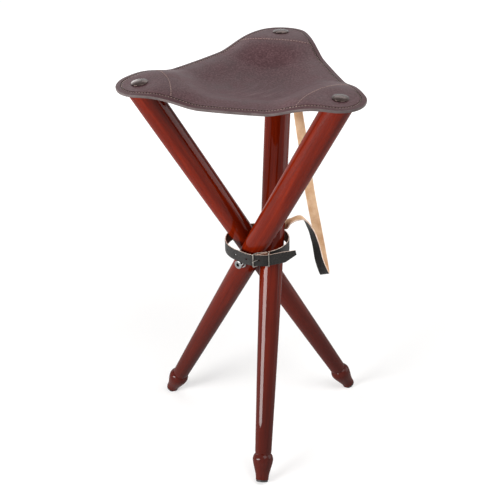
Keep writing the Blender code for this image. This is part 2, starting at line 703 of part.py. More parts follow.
def build_buckle():
    """Wire buckle frame, its prong, the rivet of the folded end and the keeper loop."""
    round_hub, outward = bar_axes()
    upward = np.array([0.0, 0.0, 1.0])
    bar = ring_point(BAR_RADIUS, BAR_ANGLE)
    cross_angle = -math.degrees(BUCKLE_REACH / BAR_RADIUS)
    stand_off = 0.5 * BELT_THICK + FIT_GAP + 0.5 * BUCKLE_WIRE_DIA
    cross = ring_point(over_radius(cross_angle) + stand_off, BAR_ANGLE + cross_angle)
    reach = float(np.linalg.norm(cross - bar))
    along = (cross - bar) / reach
    height = BELT_WIDTH + 2.0 * BUCKLE_SIDE_GAP + BUCKLE_WIRE_DIA
    middle = 0.5 * (bar + cross)
    outline = rounded_rectangle(reach, height, BUCKLE_CORNER)
    loop = [middle + x * along + z * upward for x, z in outline]
    wire("buckle_frame", loop, BUCKLE_WIRE_DIA, WIRE_STEEL, HUB, closed=True)

    hinge = frame("prong_hinge", HUB, Matrix.Translation(Vector(bar)))
    eye = 0.5 * BUCKLE_WIRE_DIA + FIT_GAP + 0.5 * PRONG_DIA
    over = np.cross(along, upward)
    over = over if over @ outward > 0.0 else -over
    wrap = [PRONG_WRAP * (1.0 - step / 14) for step in range(15)]
    loop = [eye * (math.cos(turn) * over - math.sin(turn) * along) for turn in wrap]
    tip = eye * over + (reach + 0.5 * BUCKLE_WIRE_DIA + PRONG_OVERHANG) * along
    loop += [loop[-1] + (tip - loop[-1]) * step / 4 for step in range(1, 5)]
    wire("buckle_prong", loop, PRONG_DIA, WIRE_STEEL, hinge)

    shank = 0.5 * RIVET_SHANK_DIA
    head = 0.5 * RIVET_HEAD_DIA
    low = BELT_INNER - FIT_GAP
    high = CHAPE_RADIUS + 0.5 * BELT_THICK + FIT_GAP
    profile = [
        (0.0, high + RIVET_HEAD_THICK),
        (head, high + RIVET_HEAD_THICK),
        (head, high),
        (shank, high),
        (shank, low),
        (head, low),
        (head, low - RIVET_HEAD_THICK),
        (0.0, low - RIVET_HEAD_THICK),
    ]
    turned("belt_rivet", profile, WIRE_STEEL, HUB, upright(0.0, BAR_ANGLE + RIVET_ANGLE))

    margin = FIT_GAP + 0.5 * KEEPER_WIRE_DIA
    low = BELT_INNER - margin
    high = TAIL_RADIUS + 0.5 * BELT_THICK + margin
    outline = rounded_rectangle(high - low, BELT_WIDTH + TAIL_DROP + 2.0 * margin, KEEPER_CORNER)
    spoke = np.array([*heading(BAR_ANGLE + KEEPER_ANGLE), 0.0])
    middle = ring_point(0.5 * (low + high), BAR_ANGLE + KEEPER_ANGLE) + 0.5 * tail_sink(KEEPER_ANGLE)
    loop = [middle + x * spoke + z * upward for x, z in outline]
    wire("belt_keeper", loop, KEEPER_WIRE_DIA, WIRE_STEEL, HUB, closed=True)


def anchor_frame(name, pivot, along, turn):
    """Frame on leg C's surface: Z points out of the wood and X runs up the leg."""
    outward = Vector((math.cos(turn), math.sin(turn), 0.0))
    up = Vector((0.0, 0.0, 1.0))
    axes = Matrix((up, outward.cross(up), outward)).transposed().to_4x4()
    radius = leg_radius(along)
    return frame(name, pivot, Matrix.Translation(outward * radius + up * along) @ axes)


def smooth_curve(knots, values, spacing):
    """Values read along a smooth curve through the knots, at about one spacing from point to point."""
    spans = np.linalg.norm(np.diff(knots, axis=0), axis=1)
    slopes = np.diff(values, axis=0) / spans[:, None]
    before, after = spans[:-1, None], spans[1:, None]
    inner = (after * slopes[:-1] + before * slopes[1:]) / (before + after)
    rates = np.vstack([slopes[:1], inner, slopes[-1:]])
    points = []
    for index, span in enumerate(spans):
        steps = max(2, round(span / spacing))
        for step in range(steps):
            t = step / steps
            ease = t * t * (3.0 - 2.0 * t)
            start = span * t * (1.0 - t) ** 2 * rates[index]
            end = span * t * t * (1.0 - t) * rates[index + 1]
            points.append(values[index] + ease * (values[index + 1] - values[index]) + start - end)
    points.append(values[-1])
    return np.array(points)


def build_strap(leg, pivot):
    """Carrying strap from its upper screw down to a hanging loop and up to its lower screw."""
    bpy.context.view_layer.update()
    rest = FIT_GAP + 0.5 * STRAP_THICK
    into_hub = HUB.matrix_world.inverted()
    upper = anchor_frame("strap_upper", pivot, LEG_UPPER - STRAP_TOP_DROP, STRAP_UPPER_TURN)
    lower = anchor_frame("strap_lower", pivot, STRAP_LOWER_ALONG, STRAP_LOWER_TURN)
    bpy.context.view_layer.update()
    top = into_hub @ upper.matrix_world
    foot = into_hub @ lower.matrix_world
    knots = []
    for shift in (STRAP_END, 0.0, -STRAP_END):
        knots.append((top @ Vector((shift, 0.0, rest)), -(top.to_3x3() @ Vector((0.0, 1.0, 0.0)))))
    knots += [(Vector(point), Vector(across)) for point, across in STRAP_ROUTE]
    for shift in (STRAP_END, 0.0, -STRAP_END):
        place = Vector((-shift * math.sin(STRAP_LOWER_TILT), shift * math.cos(STRAP_LOWER_TILT), rest))
        side = Vector((math.cos(STRAP_LOWER_TILT), math.sin(STRAP_LOWER_TILT), 0.0))
        knots.append((foot @ place, foot.to_3x3() @ side))
    places = np.array([point for point, _ in knots])
    sides = np.array([side.normalized() for _, side in knots])
    centres = smooth_curve(places, places, STRAP_STEP)
    across = smooth_curve(places, sides, STRAP_STEP)
    tangent = np.gradient(centres, axis=0)
    tangent /= np.linalg.norm(tangent, axis=1, keepdims=True)
    across -= tangent * np.sum(across * tangent, axis=1, keepdims=True)
    across /= np.linalg.norm(across, axis=1, keepdims=True)
    widths = np.full(len(centres), STRAP_WIDTH)
    strap = strip("carry_strap", centres, across, widths, STRAP_THICK, STRAP_LEATHER, HUB)

    shank = 0.5 * SCREW_SHANK_DIA
    head_seat = 2.0 * FIT_GAP + STRAP_THICK
    profile = dome(SCREW_HEAD_DIA, SCREW_HEAD_RIM, SCREW_HEAD_CROWN)
    profile += [(shank, 0.0), (shank, -head_seat - SCREW_BITE), (0.0, -head_seat - SCREW_BITE)]
    for name, anchor in (("strap_screw_upper", upper), ("strap_screw_lower", lower)):
        turned(name, profile, WIRE_STEEL, anchor, lift(head_seat))
        drill(strap, anchor, shank + BORE_GAP, -head_seat, 2.0 * head_seat)
        drill(leg, anchor, shank + BORE_GAP, -SCREW_BITE - FIT_GAP, LEG_WAIST_DIA)


def build_stool():
    """Build every piece of the stool."""
    arms = {}
    corners = {}
    for key, lean in LEG_LEANS.items():
        turn = Matrix.Rotation(math.radians(lean - 90.0), 4, "Z") @ Matrix.Rotation(0.5 * math.pi, 4, "Y")
        arms[key] = frame("arm_" + key, HUB, turn)
        pivot = pivot_frame(key)
        corners[key] = frame("corner_" + key, pivot, lift(LEG_UPPER, LEG_LEAN - TOP_TILT))
        leg = build_leg(key, pivot, corners[key])
        build_glide(key, pivot)
        build_corner(key, corners[key])
        build_nut(key, arms[key])
        if key == "c":
            build_strap(leg, pivot)
    build_bolt(arms)
    build_seat(corners)
    build_belt()
    build_buckle()
    bpy.context.view_layer.update()


build_stool()
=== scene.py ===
"""Looks of a folding three-legged stool: turned lacquered legs, slung leather seat, belt and strap."""

import json
import logging
import math
from dataclasses import dataclass, field
from enum import IntEnum
from typing import Any, Mapping, Sequence

import bmesh
import bpy
import numpy as np
from mathutils import Matrix


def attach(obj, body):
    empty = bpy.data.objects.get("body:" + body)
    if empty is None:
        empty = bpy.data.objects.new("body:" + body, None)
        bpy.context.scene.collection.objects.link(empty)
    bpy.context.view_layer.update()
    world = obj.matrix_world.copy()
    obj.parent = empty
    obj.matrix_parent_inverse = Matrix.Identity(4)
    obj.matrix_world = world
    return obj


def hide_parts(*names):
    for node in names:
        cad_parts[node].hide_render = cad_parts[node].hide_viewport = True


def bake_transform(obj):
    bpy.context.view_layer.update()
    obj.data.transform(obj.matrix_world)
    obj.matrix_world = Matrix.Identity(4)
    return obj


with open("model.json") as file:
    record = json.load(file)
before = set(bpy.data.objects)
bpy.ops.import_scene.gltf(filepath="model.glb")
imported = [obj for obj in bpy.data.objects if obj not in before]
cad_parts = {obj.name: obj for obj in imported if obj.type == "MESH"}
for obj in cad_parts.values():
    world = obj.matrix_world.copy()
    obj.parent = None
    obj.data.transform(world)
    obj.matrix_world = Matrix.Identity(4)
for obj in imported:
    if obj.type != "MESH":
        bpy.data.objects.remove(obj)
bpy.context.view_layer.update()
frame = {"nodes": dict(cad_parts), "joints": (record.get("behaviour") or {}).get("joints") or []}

LOG = logging.getLogger("stool")
UP = np.array([0.0, 0.0, 1.0])
MM = 0.001
QUARTER = 0.5 * math.pi
SIXTH = math.pi / 3.0
SHARP = 40.0  # degrees from which an edge shows sharp, where a piece gives no other angle
CAP_RINGS = 4  # rings in the half-round end of a wire
SIDE_SHARE = 0.45  # most of a side that the rounding of one of its corners takes
NUDGE = 1e-7  # radians that keep an angle inside its own sixth of the seat
FAR = 1.0  # metres, further in from the edge than any point of the seat
WHITE = (1.0, 1.0, 1.0, 1.0)

Ends = tuple[np.ndarray | None, np.ndarray | None]
Socket = bpy.types.NodeSocket
Tree = bpy.types.NodeTree


class StripFace(IntEnum):
    """Side of a leather strip, by its material slot."""

    GRAIN = 0
    FLESH = 1
    EDGE = 2


class SeatFace(IntEnum):
    """Side of the seat leather, by its material slot."""

    GRAIN = 0
    EDGE = 1
    FLESH = 2


class NutFace(IntEnum):
    """Part of a barrel nut, by its material slot."""

    BARREL = 0
    SOCKET = 1


# Small mathematics


def unit(vectors: np.ndarray) -> np.ndarray:
    """Vectors divided by their lengths."""
    return vectors / np.linalg.norm(vectors, axis=-1, keepdims=True)


def heading(degrees: float) -> np.ndarray:
    """Unit vector in plan at an angle from +X."""
    return np.array([math.cos(math.radians(degrees)), math.sin(math.radians(degrees))])


def spoke(degrees: float) -> np.ndarray:
    """Level unit vector at an angle from +X."""
    return np.array([*heading(degrees), 0.0])


def full_turn(sides: int) -> np.ndarray:
    """Even angles once round a circle."""
    return 2.0 * math.pi * np.arange(sides) / sides


def circle_round(axis: np.ndarray, sides: int) -> np.ndarray:
    """Unit vectors square to an axis: cos t times one normal plus sin t times the other.

    Args:
        axis: Direction of the axis.
        sides: How many, at even angles t.

    Returns:
        The vectors, one row each.
    """
    steep = abs(axis[2]) >= 0.9
    first = unit(np.cross(axis, np.array([1.0, 0.0, 0.0]) if steep else UP))
    turns = full_turn(sides)[:, None]
    return np.cos(turns) * first + np.sin(turns) * np.cross(axis, first)


def smoothstep(low: float, high: float, value: np.ndarray) -> np.ndarray:
    """0 below low, 1 above high and 3t^2 - 2t^3 of the share t between.

    Args:
        low: Value at which the curve leaves 0.
        high: Value at which it reaches 1.
        value: Values to shape.

    Returns:
        The shaped shares.
    """
    share = np.clip((value - low) / (high - low), 0.0, 1.0)
    return share * share * (3.0 - 2.0 * share)


def run_along(path: np.ndarray) -> np.ndarray:
    """Distance from a path's start to each of its points."""
    return np.concatenate([[0.0], np.cumsum(np.linalg.norm(np.diff(path, axis=0), axis=1))])


def stations(length: float, spacing: float) -> np.ndarray:
    """Even distances from 0 to a length, about a spacing apart."""
    return np.linspace(0.0, length, max(2, round(length / spacing)) + 1)


def resample(path: np.ndarray, spacing: float) -> np.ndarray:
    """Points at even distances along a polyline, both of its ends among them.

    Args:
        path: Points of the polyline.
        spacing: Distance from point to point.

    Returns:
        The points.
    """
    run = run_along(path)
    along = stations(run[-1], spacing)
    return np.column_stack([np.interp(along, run, path[:, axis]) for axis in range(path.shape[1])])


def fillet(profile: Sequence[Sequence[float]], radius: float, steps: int = 5) -> np.ndarray:
    """Round the inner corners of a polyline with parabolas tangent to both of its sides.

    Args:
        profile: Corners of the polyline, one row each.
        radius: Distance from a corner at which its parabola starts, less on short sides.
        steps: Points on each parabola.

    Returns:
        Points of the rounded polyline.
    """
    corners = np.asarray(profile, float)
    middle = corners[1:-1]
    start, end = (middle + np.minimum(radius, SIDE_SHARE * np.linalg.norm(side, axis=1))[:, None] * unit(side)
                  for side in (corners[:-2] - middle, corners[2:] - middle))
    t = np.linspace(0.0, 1.0, steps)[None, :, None]
    arcs = (1.0 - t) ** 2 * start[:, None] + 2.0 * t * (1.0 - t) * middle[:, None] + t**2 * end[:, None]
    return np.vstack([corners[:1], arcs.reshape(-1, corners.shape[1]), corners[-1:]])


def smooth_curve(knots: np.ndarray, values: np.ndarray, spacing: float) -> np.ndarray:
    """Cubic through values at knots, with slopes weighted by the lengths of the spans beside each knot.

    Args:
        knots: Places whose distances give the spans.
        values: What is carried through the knots, one row each.
        spacing: Distance from point to point.

    Returns:
        The values read along the curve.
    """
    place = run_along(knots)
    spans = np.diff(place)
    slopes = np.diff(values, axis=0) / spans[:, None]
    before, after = spans[:-1, None], spans[1:, None]
    inner = (after * slopes[:-1] + before * slopes[1:]) / (before + after)
    rates = np.vstack([slopes[:1], inner, slopes[-1:]])
    along = stations(place[-1], spacing)
    index = np.clip(np.searchsorted(place, along, side="right") - 1, 0, len(spans) - 1)
    span = spans[index][:, None]
    t = (along - place[index])[:, None] / span
    ease = t * t * (3.0 - 2.0 * t)
    start = span * t * (1.0 - t) ** 2 * rates[index]
    end = span * t * t * (1.0 - t) * rates[index + 1]
    return values[index] + ease * (values[index + 1] - values[index]) + start - end


# Meshes


@dataclass
class Skin:
    """Vertices and faces of a surface, and for each face the slot of its material."""

    points: np.ndarray
    faces: list[tuple[int, ...]]
    slots: np.ndarray | None = None


def skin(rings: np.ndarray, loop: bool = True, endless: bool = False, caps: Ends = (None, None)) -> Skin:
    """Quads between neighbouring points of a grid, and fans from its end rings to a point each.

    Args:
        rings: Grid of points, rings by places on a ring by 3.
        loop: Whether the last place on a ring joins its first.
        endless: Whether the last ring joins the first ring.
        caps: Points that close the first and the last ring.

    Returns:
        The surface, its faces in ring order with the fans last.
    """
    rows, columns = rings.shape[:2]
    ring = np.arange(columns if loop else columns - 1)
    row, column = np.meshgrid(np.arange(rows if endless else rows - 1), ring, indexing="ij")
    after, beside = (row + 1) % rows, (column + 1) % columns
    quads = np.stack([row * columns + column, row * columns + beside,
                      after * columns + beside, after * columns + column], -1).reshape(-1, 4)
    faces = [tuple(quad) for quad in quads.tolist()]
    points = [rings.reshape(-1, 3)]
    for cap, base in zip(caps, (0, (rows - 1) * columns)):
        if cap is not None:
            pole = np.full(len(ring), sum(map(len, points)))
            fan = np.column_stack([pole, base + ring, base + (ring + 1) % columns])
            faces += [tuple(triangle) for triangle in fan.tolist()]
            points.append(np.asarray(cap, float)[None, :])
    return Skin(np.vstack(points), faces)


def put(name: str, surface: Skin, materials: Sequence[bpy.types.Material],
        sharp: float = SHARP) -> bpy.types.Object:
    """Put a surface in the scene as a smooth piece whose faces point outwards.

    Args:
        name: Name of the piece.
        surface: Its vertices, faces and material slots.
        materials: One material for each slot.
        sharp: Angle in degrees from which an edge is shown sharp.

    Returns:
        The piece.
    """
    mesh = bpy.data.meshes.new(name)
    mesh.from_pydata(surface.points.tolist(), [], surface.faces)
    if surface.slots is not None:
        mesh.polygons.foreach_set("material_index", surface.slots.astype(np.int32))
    form = bmesh.new()
    form.from_mesh(mesh)
    bmesh.ops.recalc_face_normals(form, faces=form.faces)
    form.to_mesh(mesh)
    form.free()
    mesh.shade_smooth()
    mesh.set_sharp_from_angle(angle=math.radians(sharp))
    piece = bpy.data.objects.new(name, mesh)
    for material in materials:
        mesh.materials.append(material)
    bpy.context.scene.collection.objects.link(piece)
    return piece


def vertex_places(piece: bpy.types.Object) -> np.ndarray:
    """Places of a piece's vertices.

    Args:
        piece: The piece.

    Returns:
        One row for each vertex.
    """
    places = np.empty(len(piece.data.vertices) * 3, np.float32)
    piece.data.vertices.foreach_get("co", places)
    return places.reshape(-1, 3).astype(float)


def note(piece: bpy.types.Object, name: str, values: np.ndarray) -> None:
    """Store a vector at each vertex, under a name that the materials read."""
    attribute = piece.data.attributes.new(name, "FLOAT_VECTOR", "POINT")
    attribute.data.foreach_set("vector", values.astype(np.float32).ravel())


def cut(piece: bpy.types.Object, cutters: Sequence[Skin], slot: int = 0) -> None:
    """Take closed forms out of a piece, for bores, slots and spot-faces.

    Args:
        piece: The piece, whose mesh is replaced.
        cutters: The forms.
        slot: Material slot of the faces that the cut leaves.
    """
    tools = []
    for index, cutter in enumerate(cutters):
        cutter.slots = np.full(len(cutter.faces), slot)
        tool = put(f"{piece.name}_cutter_{index}", cutter, list(piece.data.materials))
        modifier = piece.modifiers.new(tool.name, "BOOLEAN")
        modifier.operation, modifier.solver, modifier.object = "DIFFERENCE", "EXACT", tool
        tools.append(tool)
    bpy.context.view_layer.update()
    graph = bpy.context.evaluated_depsgraph_get()
    mesh = bpy.data.meshes.new_from_object(piece.evaluated_get(graph))
    mesh.name = piece.data.name
    piece.modifiers.clear()
    piece.data = mesh
    for tool in tools:
        bpy.data.objects.remove(tool)
    mesh.set_sharp_from_angle(angle=math.radians(SHARP))


def rod(radius: float, low: float, high: float) -> np.ndarray:
    """Profile of a plain cylinder between two heights, for turned."""
    return np.array([(0.0, low), (radius, low), (radius, high), (0.0, high)])


def turned(profile: np.ndarray, origin: np.ndarray, axis: np.ndarray, sides: int = 64) -> Skin:
    """Surface of revolution: each (radius, height) of the profile swept once round an axis.

    Args:
        profile: Radius and height from one end to the other; the first and the last become poles.
        origin: Point on the axis at height 0.
        axis: Direction of the axis.
        sides: Places round a ring.

    Returns:
        The closed surface.
    """
    body = np.asarray(profile)[1:-1]
    rings = origin + body[:, :1, None] * circle_round(axis, sides) + body[:, 1:, None] * axis
    return skin(rings, caps=(origin + profile[0][1] * axis, origin + profile[-1][1] * axis))


def tube(path: np.ndarray, radius: float, across: np.ndarray, closed: bool, sides: int = 16) -> Skin:
    """Circle carried along a path, square to it, with half-round ends where the path is open.

    Args:
        path: Centre line.
        radius: Radius of the wire.
        across: Direction that the path never runs along.
        closed: Whether the path returns to its start.
        sides: Places round the wire.

    Returns:
        The closed surface.
    """
    along = unit(np.roll(path, -1, 0) - np.roll(path, 1, 0) if closed else np.gradient(path, axis=0))
    reach = np.full(len(path), radius)
    caps: Ends = (None, None)
    if not closed:
        bend = np.linspace(0.0, QUARTER, CAP_RINGS + 2)[1:-1]
        shift, small = radius * np.sin(bend)[:, None], radius * np.cos(bend)
        caps = (path[0] - radius * along[0], path[-1] + radius * along[-1])
        path = np.vstack([(path[0] - shift * along[0])[::-1], path, path[-1] + shift * along[-1]])
        reach = np.concatenate([small[::-1], reach, small])
        along = np.pad(along, ((len(bend), len(bend)), (0, 0)), mode="edge")
    first = unit(across - along * np.sum(along * across, axis=1, keepdims=True))
    second = np.cross(along, first)
    turns = full_turn(sides)[None, :, None]
    spread = np.cos(turns) * first[:, None, :] + np.sin(turns) * second[:, None, :]
    return skin(path[:, None, :] + reach[:, None, None] * spread, endless=closed, caps=caps)


def rounded_rectangle(width: float, height: float, radius: float, steps: int = 6) -> np.ndarray:
    """Outline of a rectangle centred on zero whose corners are quarter circles.

    Args:
        width: Size along the first axis.
        height: Size along the second axis.
        radius: Radius of the corners.
        steps: Points on each corner after its first.

    Returns:
        The closed outline, one row for each point.
    """
    quarter = QUARTER * np.arange(4)[:, None]
    turns = quarter + QUARTER * np.arange(steps + 1)[None, :] / steps
    middle = np.sign([np.cos(quarter + 0.5 * QUARTER), np.sin(quarter + 0.5 * QUARTER)])
    x = middle[0] * (0.5 * width - radius) + radius * np.cos(turns)
    y = middle[1] * (0.5 * height - radius) + radius * np.sin(turns)
    return np.column_stack([x.ravel(), y.ravel()])


@dataclass
class Strip:
    """Flat leather carried along a path, with eased edges.

    A point of the surface is the path point, plus v times the across vector, plus w times the face normal,
    where (v, w) runs round a rectangle with rounded corners.
    """

    path: np.ndarray
    across: np.ndarray
    widths: np.ndarray
    thickness: float
    easing: float = 0.5 * MM
    edge_steps: int = 3
    flat_points: int = 7

    def section(self, width: float) -> np.ndarray:
        """Rounded outline with extra points across its two flats, so that they can bend.

        Args:
            width: Width of the strip.

        Returns:
            The outline, one row for each point.
        """
        outline = rounded_rectangle(width, self.thickness, self.easing, self.edge_steps)
        flat = np.linspace(-1.0, 1.0, self.flat_points + 2)[1:-1] * (0.5 * width - self.easing)
        half = np.full(len(flat), 0.5 * self.thickness)
        upper, lower = np.column_stack([flat[::-1], half]), np.column_stack([flat, -half])
        corner = self.edge_steps + 1
        return np.vstack([outline[:corner], upper, outline[corner:3 * corner], lower, outline[3 * corner:]])

    def surface(self) -> Skin:
        """Closed surface, whose faces carry the slots of StripFace.

        Returns:
            The surface.
        """
        along = unit(np.gradient(self.path, axis=0))
        across = unit(self.across - along * np.sum(self.across * along, axis=1, keepdims=True))
        outward = np.cross(along, across)
        width = float(np.max(self.widths))
        section = self.section(width)
        v = section[None, :, 0] * (self.widths / width)[:, None]
        rings = self.path[:, None, :] + v[..., None] * across[:, None, :]
        rings = rings + section[None, :, 1, None] * outward[:, None, :]
        made = skin(rings, caps=(self.path[0], self.path[-1]))
        middle = 0.5 * (section + np.roll(section, -1, axis=0))[:, 1]
        flat = 0.5 * self.thickness - 0.35 * self.easing
        side = np.where(middle > flat, StripFace.GRAIN,
                        np.where(middle < -flat, StripFace.FLESH, StripFace.EDGE))
        made.slots = np.concatenate([np.tile(side, len(self.path) - 1),
                                     np.full(2 * len(section), StripFace.EDGE)])
        return made


# Materials


def linear(colour: str) -> tuple[float, ...]:
    """An sRGB hex colour in linear light, with full alpha.

    Args:
        colour: Six hex digits.

    Returns:
        Red, green, blue and alpha.
    """
    channels = np.array([int(colour[index:index + 2], 16) for index in (0, 2, 4)]) / 255.0
    light = np.where(channels <= 0.04045, channels / 12.92, ((channels + 0.055) / 1.055) ** 2.4)
    return (*light.tolist(), 1.0)


def per_metre(size_mm: float) -> float:
    """Pattern cells in a metre, for a cell's size in millimetres."""
    return 1.0 / (size_mm * MM)


def plug(node: bpy.types.Node, inputs: Mapping[str | int, Any]) -> None:
    """Link or set inputs of a node.

    Args:
        node: The node.
        inputs: Sockets to link from, or values, by the name or number of the input.
    """
    for key, value in inputs.items():
        if isinstance(value, Socket):
            node.id_data.links.new(value, node.inputs[key])
        else:
            node.inputs[key].default_value = value


def add(tree: Tree, kind: str, inputs: Mapping[str | int, Any] | None = None, out: str | int = 0,
        stops: Sequence[tuple[float, str]] = (), **settings: Any) -> Socket:
    """Add a node with its settings, values and links.

    Args:
        tree: Tree that the node goes into.
        kind: Node type after the word ShaderNode.
        inputs: Sockets to link from, or values, by the name or number of the input.
        out: Name or number of the output to hand back.
        stops: Places and hex colours, for a ramp.
        **settings: Attributes of the node.

    Returns:
        The output.
    """
    node = tree.nodes.new("ShaderNode" + kind)
    for name, value in settings.items():
        setattr(node, name, value)
    plug(node, inputs or {})
    for index, (place, colour) in enumerate(stops):
        elements = node.color_ramp.elements
        element = elements[index] if index < 2 else elements.new(place)
        element.position, element.color = place, linear(colour)
    return node.outputs[out]


def seen(tree: Tree) -> Socket:
    """1 for rays from the camera, from gloss and through glass, and 0 for the rays that carry light.

    Args:
        tree: Tree that asks.

    Returns:
        The output.
    """
    ray = add(tree, "LightPath").node.outputs
    direct = add(tree, "Math", {0: ray["Is Camera Ray"], 1: ray["Is Glossy Ray"]}, operation="MAXIMUM")
    return add(tree, "Math", {0: direct, 1: ray["Is Transmission Ray"]}, operation="MAXIMUM")


@dataclass(frozen=True)
class Finish:
    """A finish, whose sockets method draws it on Object coordinates."""

    name: str

    def make(self) -> bpy.types.Material:
        """Material of the finish.

        Returns:
            The material.
        """
        material = bpy.data.materials.new(self.name)
        material.use_nodes = True
        tree = material.node_tree
        plug(tree.nodes["Principled BSDF"], self.sockets(tree, add(tree, "TexCoord", out="Object")))
        return material

    def sockets(self, tree: Tree, place: Socket) -> dict[str, Any]:
        """Links and values of the shader, from the tree and the Object coordinates."""
        raise NotImplementedError


@dataclass(frozen=True)
class LacqueredMahogany(Finish):
    """Red-stained mahogany, turned, sanded and sprayed with clear gloss lacquer.

    The eye sees deep red-brown fibres that run along the leg, short dark pores and a mirror-like coat, and a
    painted shade darkens the leg towards the foot. Each pattern has a width across the grain in millimetres,
    and its length in widths.
    """

    name: str = "lacquered_mahogany"
    dark: str = "541001"
    middle: str = "631503"
    bright: str = "721C04"
    pore: str = "480A02"
    # colour of the painted shade towards the foot
    shaded: str = "34110D"
    figure: tuple[float, float] = (7.0, 18.0)
    fibre: tuple[float, float] = (1.5, 40.0)
    pores: tuple[float, float] = (0.9, 14.0)
    foot_shade_low: float = 0.06
    foot_shade_high: float = 0.44
    foot_shade_share: float = 0.7
    coat: float = 0.28
    coat_roughness: float = 0.03
    coat_ior: float = 1.5

    def sockets(self, tree: Tree, place: Socket) -> dict[str, Any]:
        """Wood that reads its grain from the leg's own axes, and a painted shade from the height, darker
        towards the foot.

        Args:
            tree: Tree of the material.
            place: Object coordinates.

        Returns:
            Links and values of the shader.
        """
        grain = add(tree, "Attribute", out="Vector", attribute_name="grain")
        figure, fibre, pores = (
            add(tree, "VectorMath", {0: grain, 1: self.cells(*size)}, operation="MULTIPLY")
            for size in (self.figure, self.fibre, self.pores))
        broad = add(tree, "TexNoise", {"Vector": figure, "Scale": 1.0, "Detail": 3.0, "Distortion": 0.6})
        fine = add(tree, "TexNoise", {"Vector": fibre, "Scale": 1.0, "Detail": 4.0, "Roughness": 0.6})
        dash = add(tree, "TexVoronoi", {"Vector": pores, "Scale": 1.0, "Randomness": 1.0})
        tone = add(tree, "Math", {0: fine, 1: 0.5, 2: broad}, operation="MULTIPLY_ADD")
        colour = add(tree, "ValToRGB", {"Fac": tone},
                     stops=[(0.50, self.dark), (0.98, self.bright), (0.74, self.middle)])
        hollow = add(tree, "MapRange", {"Value": dash, "From Min": 0.10, "From Max": 0.28,
                                        "To Min": 0.4, "To Max": 0.0})
        colour = add(tree, "Mix", {0: hollow, 6: colour, 7: linear(self.pore)}, 2, data_type="RGBA")
        # Painted shade: the colour darkens towards the floor, standing in for the shade on the lower leg.
        low = add(tree, "MapRange", {"Value": add(tree, "SeparateXYZ", {"Vector": place}, "Z"),
                                     "From Min": self.foot_shade_low, "From Max": self.foot_shade_high,
                                     "To Min": self.foot_shade_share, "To Max": 0.0},
                  interpolation_type="SMOOTHSTEP")
        colour = add(tree, "Mix", {0: low, 6: colour, 7: linear(self.shaded)}, 2, data_type="RGBA")
        return {"Base Color": colour,
                "Roughness": add(tree, "MapRange", {"Value": fine, "To Min": 0.30, "To Max": 0.48}),
                "Normal": add(tree, "Bump", {"Height": fine, "Strength": 0.12, "Distance": 0.05 * MM}),
                "Specular IOR Level": 0.0, "Coat Weight": self.coat,
                "Coat Roughness": self.coat_roughness, "Coat IOR": self.coat_ior}

    @staticmethod
    def cells(width_mm: float, length: float) -> tuple[float, float, float]:
        """Cells per metre across the grain twice, and along it."""
        return (per_metre(width_mm), per_metre(width_mm), per_metre(width_mm) / length)


